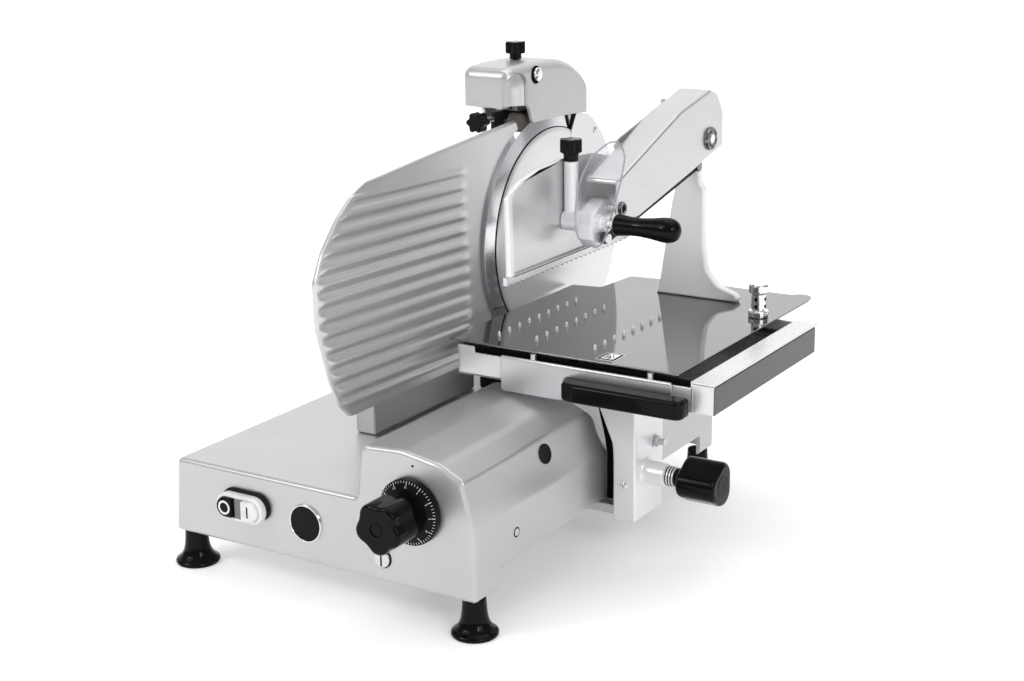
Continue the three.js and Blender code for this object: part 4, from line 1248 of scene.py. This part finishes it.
def post():
    y0, y1 = 588.0, 602.0
    foot = 234.8
    outline = [
        (-70, foot, 0), (53, foot, 0), (57, 240, 5), (50, 246.5, 6), (24, 255, 24), (7, 276, 24),
        (2, 310, 60), (1.5, 372, 30), (2, 388, 6), (-4.5, 398, 6), (-5.5, 412, 8), (-14, 459, 6),
        (-34, 459, 6), (-34, 408, 6), (-42, 392, 10), (-47, 370, 20), (-58, 300, 60), (-67, 242, 6),
    ]
    # The post's near-white casting is painted light on its lit front.
    p = Piece("post_casting", "table", LIT_POST_CAST, "arm_post")
    p.slab("y", fillet(outline, 5, 7), y0, y1, 3.2, 4)
    p.rod("x", PIVOT, 13, -34, -14, 56, 1.2)
    p.rod("x", LINK_REAR, 8, -34, -14, 40, 0.8)
    p.box((-34, -14), (577, 592), (416, 432), 1)
    p.done()
    pins = Piece("post_pins", "table", CHROME)
    pins.rod("x", PIVOT, 6, -44, 5, 40, 0.3)
    ring = Piece("post_pin_ring", "table", DARK_CHROME)
    ring.lathe("x", PIVOT, [
        (4.2, 5.1), (15.8, 5.1), (16.2, 6.4), (15, 9), (12.6, 9.4), (11.6, 7.6), (9.6, 6.9), (8.6, 8.6),
        (4.2, 9), (4.2, 5.1),
    ], 64)
    ring.lathe("x", LINK_REAR, [(0, -2.2), (7.2, -2.2), (7.4, 0.4), (6.2, 1.6), (0, 1.8)], 40, 0.3)
    ring.done()
    pins.lathe("x", LINK_REAR, [
        (0, -15), (4, -15), (4, -3.7), (6.4, -3.7), (6.5, -1.6), (5.8, -1), (0, -1),
    ], 40, 0.3)
    pins.done()
    Piece("post_pin_recess", "table", GAP_SHADE).rod("x", PIVOT, 12.4, 5, 7.05, 48).done()
    nut = Piece("post_pin_nut", "table", CHROME, slot="machined_steel")
    nut.slab("x", circle(*PIVOT, 6.8, 6), 6.5, 9.2, 0.5)
    nut.done()


# ---- press arm

ARM_NEAR, ARM_FAR, SHEET = 4.8, -41.0, 1.8
ARM_OUTLINE = [
    (333, 446, 5), (346, 447, 12), (509, 507, 60), (544, 514.4, 60), (600, 526, 12), (622, 518, 10),
    (641, 492, 12), (642, 443.5, 6), (583, 431, 40), (555, 423.6, 60), (389, 387.3, 60), (352, 391, 20),
    (336, 396, 8), (331, 404, 4),
]


def arm():
    p = Piece("arm_shell", "press_arm", BRUSHED_ARM, "arm_cover")
    p.slab("x", fillet(ARM_OUTLINE, 4, 6), ARM_FAR, ARM_NEAR, 3.2, 4)
    hollow = [
        (322, 436), (346, 445, 8), (509, 505.2, 60), (544, 512.4, 60), (600, 524, 10), (620.6, 516.2, 8),
        (639.2, 491.4, 10), (641.2, 446), (641, 380), (320, 340),
    ]
    p.cut(tool().slab("x", fillet(hollow, 0.01, 6), ARM_FAR + SHEET, ARM_NEAR - SHEET, 2.0, 3))
    for at, r in ((PIVOT, 6.3), (ARM_FRONT, 5.3)):
        p.bore("x", at, r, -60, 20, 40)
    p.done()
    Piece("arm_far_plate", "press_arm", BRUSHED_ARM).slab("x", [
        (408, 474), (420, 482), (600, 525.4), (600, 505), (420, 460),
    ], ARM_FAR - 0.9, ARM_FAR + 0.7, 0.4).done()
    Piece("arm_far_shadow", "press_arm", DARK_CAST, slot="brushed_stainless").slab("x", [
        (412, 470), (420, 478.5), (540, 508.6), (540, 500), (420, 462),
    ], ARM_FAR + 0.6, ARM_FAR + 2.2, 0).done()
    Piece("arm_small_screw", "press_arm", STEEL).lathe("x", (552, 513), [
        (0, ARM_FAR - 4.6), (3.6, ARM_FAR - 4.6), (4.2, ARM_FAR - 0.8), (0, ARM_FAR - 0.8),
    ], 28, 0.5).done()
    # The link is painted near-black, though its look is brushed stainless: painted shade under the arm.
    bar = Piece("link_bar_in_shade", "arm_link", BLACK_SATIN, "level_link", slot="brushed_stainless")
    lean = math.degrees(math.atan2(LINK_FRONT[1] - LINK_REAR[1], LINK_FRONT[0] - LINK_REAR[0]))
    ends = arc(*LINK_REAR, 7, lean + 90, lean + 270, 14) + arc(*LINK_FRONT, 7, lean - 90, lean + 90, 14)
    bar.slab("x", ends, -12, -4, 1.0)
    for at in (LINK_REAR, LINK_FRONT):
        bar.bore("x", at, 4.3, -20, 5, 32)
    bar.done()


def press():
    plate_x = span("press_plate")[0].x
    face = plate_x + 3
    p = Piece("press_sheet", "press", BRUSHED, "press_plate")
    outline = [
        (178, 346, 1), (175, 441, 6), (183, 450.5, 6), (207, 460, 20), (248, 468.6, 40), (317, 471, 60),
        (386, 467, 60), (431, 457, 30), (462, 445, 20), (478, 430, 6), (478, 346, 1),
    ]
    p.slab("x", fillet(outline, 4, 6), plate_x, face, 0.9)
    p.box((plate_x, plate_x + 7), (181, 477), (346, 348.2), 0.8)
    p.done()
    fold = Piece("press_fold", "press", LIT_SATIN, slot="brushed_stainless")
    outer = [
        (178, 347), (175.2, 440), (177.4, 446), (184, 450.4), (207, 459.8), (248, 468.2), (300, 470.6),
    ]
    inner = [(300, 468.2), (248, 465.4), (209, 456.6), (192, 449), (187, 444), (185.4, 438), (188, 347)]
    fold.slab("x", outer + inner, face - 0.6, face + 4.2, 1.6, 4, r_lo=0)
    fold.done()
    line = Piece("press_dark_line", "press", GAP_SHADE)
    line.box((face - 0.4, face + 0.9), (194, 478), (343.8, 346.2), 0.2)
    line.done()
    strip = Piece("press_teeth", "press", STEEL, "press_strip", slot="brushed_stainless")
    pitch, z = 12, 334
    points = [(176, 345.7)]
    for i in range(26):
        y = 176 + i * pitch
        points += [(y, z + 1.8), (y + pitch * 0.25, z), (y + pitch * 0.5, z + 1.8)]
    points += [(488, z + 1.8), (488, 345.7)]
    strip.slab("x", points, plate_x - 2.6, face, 0.45, 2)
    strip.done()
    axis = (316, 393)
    body = Piece("press_bracket", "press", LIT_SATIN, "press_carrier")
    cheek = [
        (301, 392, 4), (304, 404, 6), (336, 419, 6), (350, 419.5, 6), (358, 411, 5), (357, 400, 6),
        (334, 367, 8), (324, 361, 6), (314, 362, 6), (305, 372, 6),
    ]
    body.slab("x", fillet(cheek, 4, 5), -36, -14, 3, 4)
    body.lathe("x", axis, [
        (0, -60.4), (12.4, -60.4), (13.4, -59), (13.4, -36), (14.6, -34), (14.6, -18), (13.4, -16),
        (13.4, -12.6), (0, -12.6),
    ], 64, 0.9)
    body.lathe("x", axis, [
        (0, -13), (11, -13), (11, -5), (9.6, -4), (9.6, -1), (11, 0), (11, 1.6), (6, 1.6), (6, 94),
        (0, 94),
    ], 48, 0.4)
    upright = (-51.5, axis[0])
    body.rod("z", upright, 8.9, 386, 468, 48, 1)
    body.rod("x", ARM_FRONT, 5, -44, 5, 32)
    body.lathe("x", LINK_FRONT, [(0, -15), (4, -15), (4, -3.7), (6.4, -3.7), (6.4, -1), (0, -1)], 32, 0.3)
    body.done()
    Piece("press_front_bolt", "press", DARK_CHROME).lathe("x", ARM_FRONT, [
        (3.2, 5.1), (8.8, 5.1), (9, 6.4), (8, 8), (6, 8.2), (5, 6.6), (3.2, 6.6), (3.2, 5.1),
    ], 48).done()
    Piece("press_front_bolt_core", "press", GAP_SHADE).rod("x", ARM_FRONT, 5.2, 5, 6.7, 32).done()
    Piece("press_grip", "grip", BLACK, "handle_grip").lathe("x", axis, soften([
        (6.3, 13), (12.2, 13), (13.6, 16), (13, 24), (11.6, 36), (11.6, 48), (13.2, 64), (15.4, 78),
        (15.9, 86), (13.6, 95), (8.6, 100), (0.2, 102), (0.2, 95), (6.3, 95), (6.3, 13),
    ], 5, 5), 64).done()
    lock = Piece("press_lock_grip", "press_lock", BLACK, "press_knob")
    lock.lathe("z", upright, [(0, 468.3), (9.4, 468.3), (9.4, 474), (10.6, 481), (0, 481)], 40, 0.8)
    lock.slab("z", lobes(*upright, 15.2, 6, 3.3, 14), 479, 496, 2.6, 5)
    lock.done()
    shield = Piece("hand_shield_sheet", "press", CLEAR, "hand_shield")
    outline = [
        (-63, 395, 6), (-63, 418, 8), (-59, 446, 20), (-51, 462, 14), (-35, 483, 14), (-5, 496, 14),
        (10, 496, 6), (18, 489, 8), (24, 474, 16), (16, 444, 30), (-8, 384, 20), (-16, 371, 8),
        (-28, 367, 8), (-58, 384, 8),
    ]
    border = fillet([(u + axis[0], v, r) for u, v, r in outline], 4, 5)
    shield.slab("x", border, -1.5, 1.5, 0.9)
    shield.bore("x", axis, 8, -4, 4, 40)
    turned = Matrix.Translation((6.5 * MM, 0, 0)) @ about((0, *axis), Matrix.Rotation(-0.27, 4, "Z"))
    shield.done(turned)
    edge = Piece("hand_shield_edge", "press", CLEAR_EDGE)
    edge.sweep([(0, u, v) for u, v in border + border[:1]], 1.2, 8)
    edge.done(turned)


# ---- the CAD nodes that stay

LEFTOVER = {
    "bottom_cover": BRUSHED, "switch_box": DARK, "dial_shaft": STEEL, "gauge_rail": STEEL,
    "drive_belt": RUBBER,
}


# ---- studio


def studio():
    mat = material("floor_mat", (0.93, 0.93, 0.93), 0.0, 0.7, Emission_Color=(1, 1, 1, 1))
    # The floor glows though it is no lamp: painted light, weaker near the machine and stronger towards the
    # backdrop.
    away = add_node(mat, "VectorMath")
    away.operation = "LENGTH"
    glow = add_node(mat, "MapRange", From_Min=0.5, From_Max=2.4, To_Min=0.27, To_Max=0.5)
    glow.interpolation_type = "SMOOTHSTEP"
    link(mat, add_node(mat, "TexCoord"), "Object", away, 0)
    link(mat, away, "Value", glow, "Value")
    link(mat, glow, "Result", shader_of(mat), "Emission Strength")
    near, flat, bend, height, half = -6, 3.2, 1.6, 7, 9
    profile = [(near, 0), *arc(flat, bend, bend, -90, 0, 12), (flat + bend, height)]
    mesh = bpy.data.meshes.new("studio_floor")
    bm = bmesh.new()
    rows = [[bm.verts.new((x, y, z)) for x in (-half, half)] for y, z in profile]
    for a, b in zip(rows, rows[1:]):
        bm.faces.new((a[0], a[1], b[1], b[0])).smooth = True
    bm.to_mesh(mesh)
    bm.free()
    mesh.materials.append(mat)
    mesh.transform(Matrix.Rotation(math.radians(32), 4, "Z"))
    floor = linked("studio_floor", mesh)


def light(name, at, aim, size, power):
    data = bpy.data.lights.new(name, "AREA")
    data.shape = "RECTANGLE"
    data.size, data.size_y = size
    data.energy = power
    obj = linked(name, data)
    obj.location = at
    obj.rotation_euler = (Vector(aim) - Vector(at)).to_track_quat("-Z", "Y").to_euler()


def world():
    """A soft grey surround, paler below and above, that only the reflections show."""
    w = bpy.data.worlds.new("studio")
    bpy.context.scene.world = w
    w.use_nodes = True
    back = set_inputs(w.node_tree.nodes["Background"], Strength=0.6)
    split, ramp = add_node(w, "SeparateXYZ"), add_node(w, "ValToRGB")
    height = add_node(w, "MapRange", From_Min=-1, From_Max=1)
    link(w, add_node(w, "TexCoord"), "Generated", split, "Vector")
    link(w, split, "Z", height, "Value")
    link(w, height, "Result", ramp, "Fac")
    link(w, ramp, "Color", back, "Color")
    elements = ramp.color_ramp.elements
    elements[0].position, elements[0].color = 0.42, (0.70, 0.70, 0.71, 1)
    elements[1].position, elements[1].color = 1.0, (1, 1, 1, 1)
    elements.new(0.62).color = (0.42, 0.42, 0.44, 1)


def camera():
    """The place and the turn that match the photograph."""
    data = bpy.data.cameras.new("camera")
    data.sensor_width, data.lens = 36, 59.8
    obj = linked("camera", data)
    seat = (1007, -1510, 840)
    azimuth, elevation, roll = (math.radians(a) for a in (32.2, 16.0, -0.87))
    back = Vector((
        math.sin(azimuth) * math.cos(elevation), -math.cos(azimuth) * math.cos(elevation),
        math.sin(elevation),
    ))
    side = Vector((0, 0, 1)).cross(back).normalized()
    up = back.cross(side)
    c, s = math.cos(roll), math.sin(roll)
    side, up = side * c + up * s, up * c - side * s
    basis = Matrix((side, up, back)).transposed().to_4x4()
    obj.matrix_world = Matrix.Translation(place(seat)) @ basis
    bpy.context.scene.camera = obj


for build in (
    base_body, feet, panel_switch, badge, lock_screw, dial,
    base_fittings, gauge_plate, gauge_bracket, blade, guard, support,
    drive, sharpener_hood, sharpener_parts, carriage, tray, table,
    post, arm, press,
):
    build()

for node_name, finish in LEFTOVER.items():
    paint(frame["nodes"][node_name], finish)

studio()
world()
light("key", (-1.6, -2.6, 2.6), (0, 0, 0.2), (2.4, 1.8), 26)
light("fill", (2.8, -1.2, 1.6), (0, 0, 0.35), (2.0, 1.6), 22)
light("top", (0.2, 0.6, 3.2), (0, 0, 0.2), (3.2, 2.4), 26)
light("spark_left", (-1.5, -2.4, 2.0), (0, 0, 0.25), (0.5, 0.7), 12)
light("spark_right", (2.4, -1.7, 1.7), (0, 0, 0.25), (0.5, 0.7), 10)
camera()
bpy.context.scene.view_settings.view_transform = "Standard"
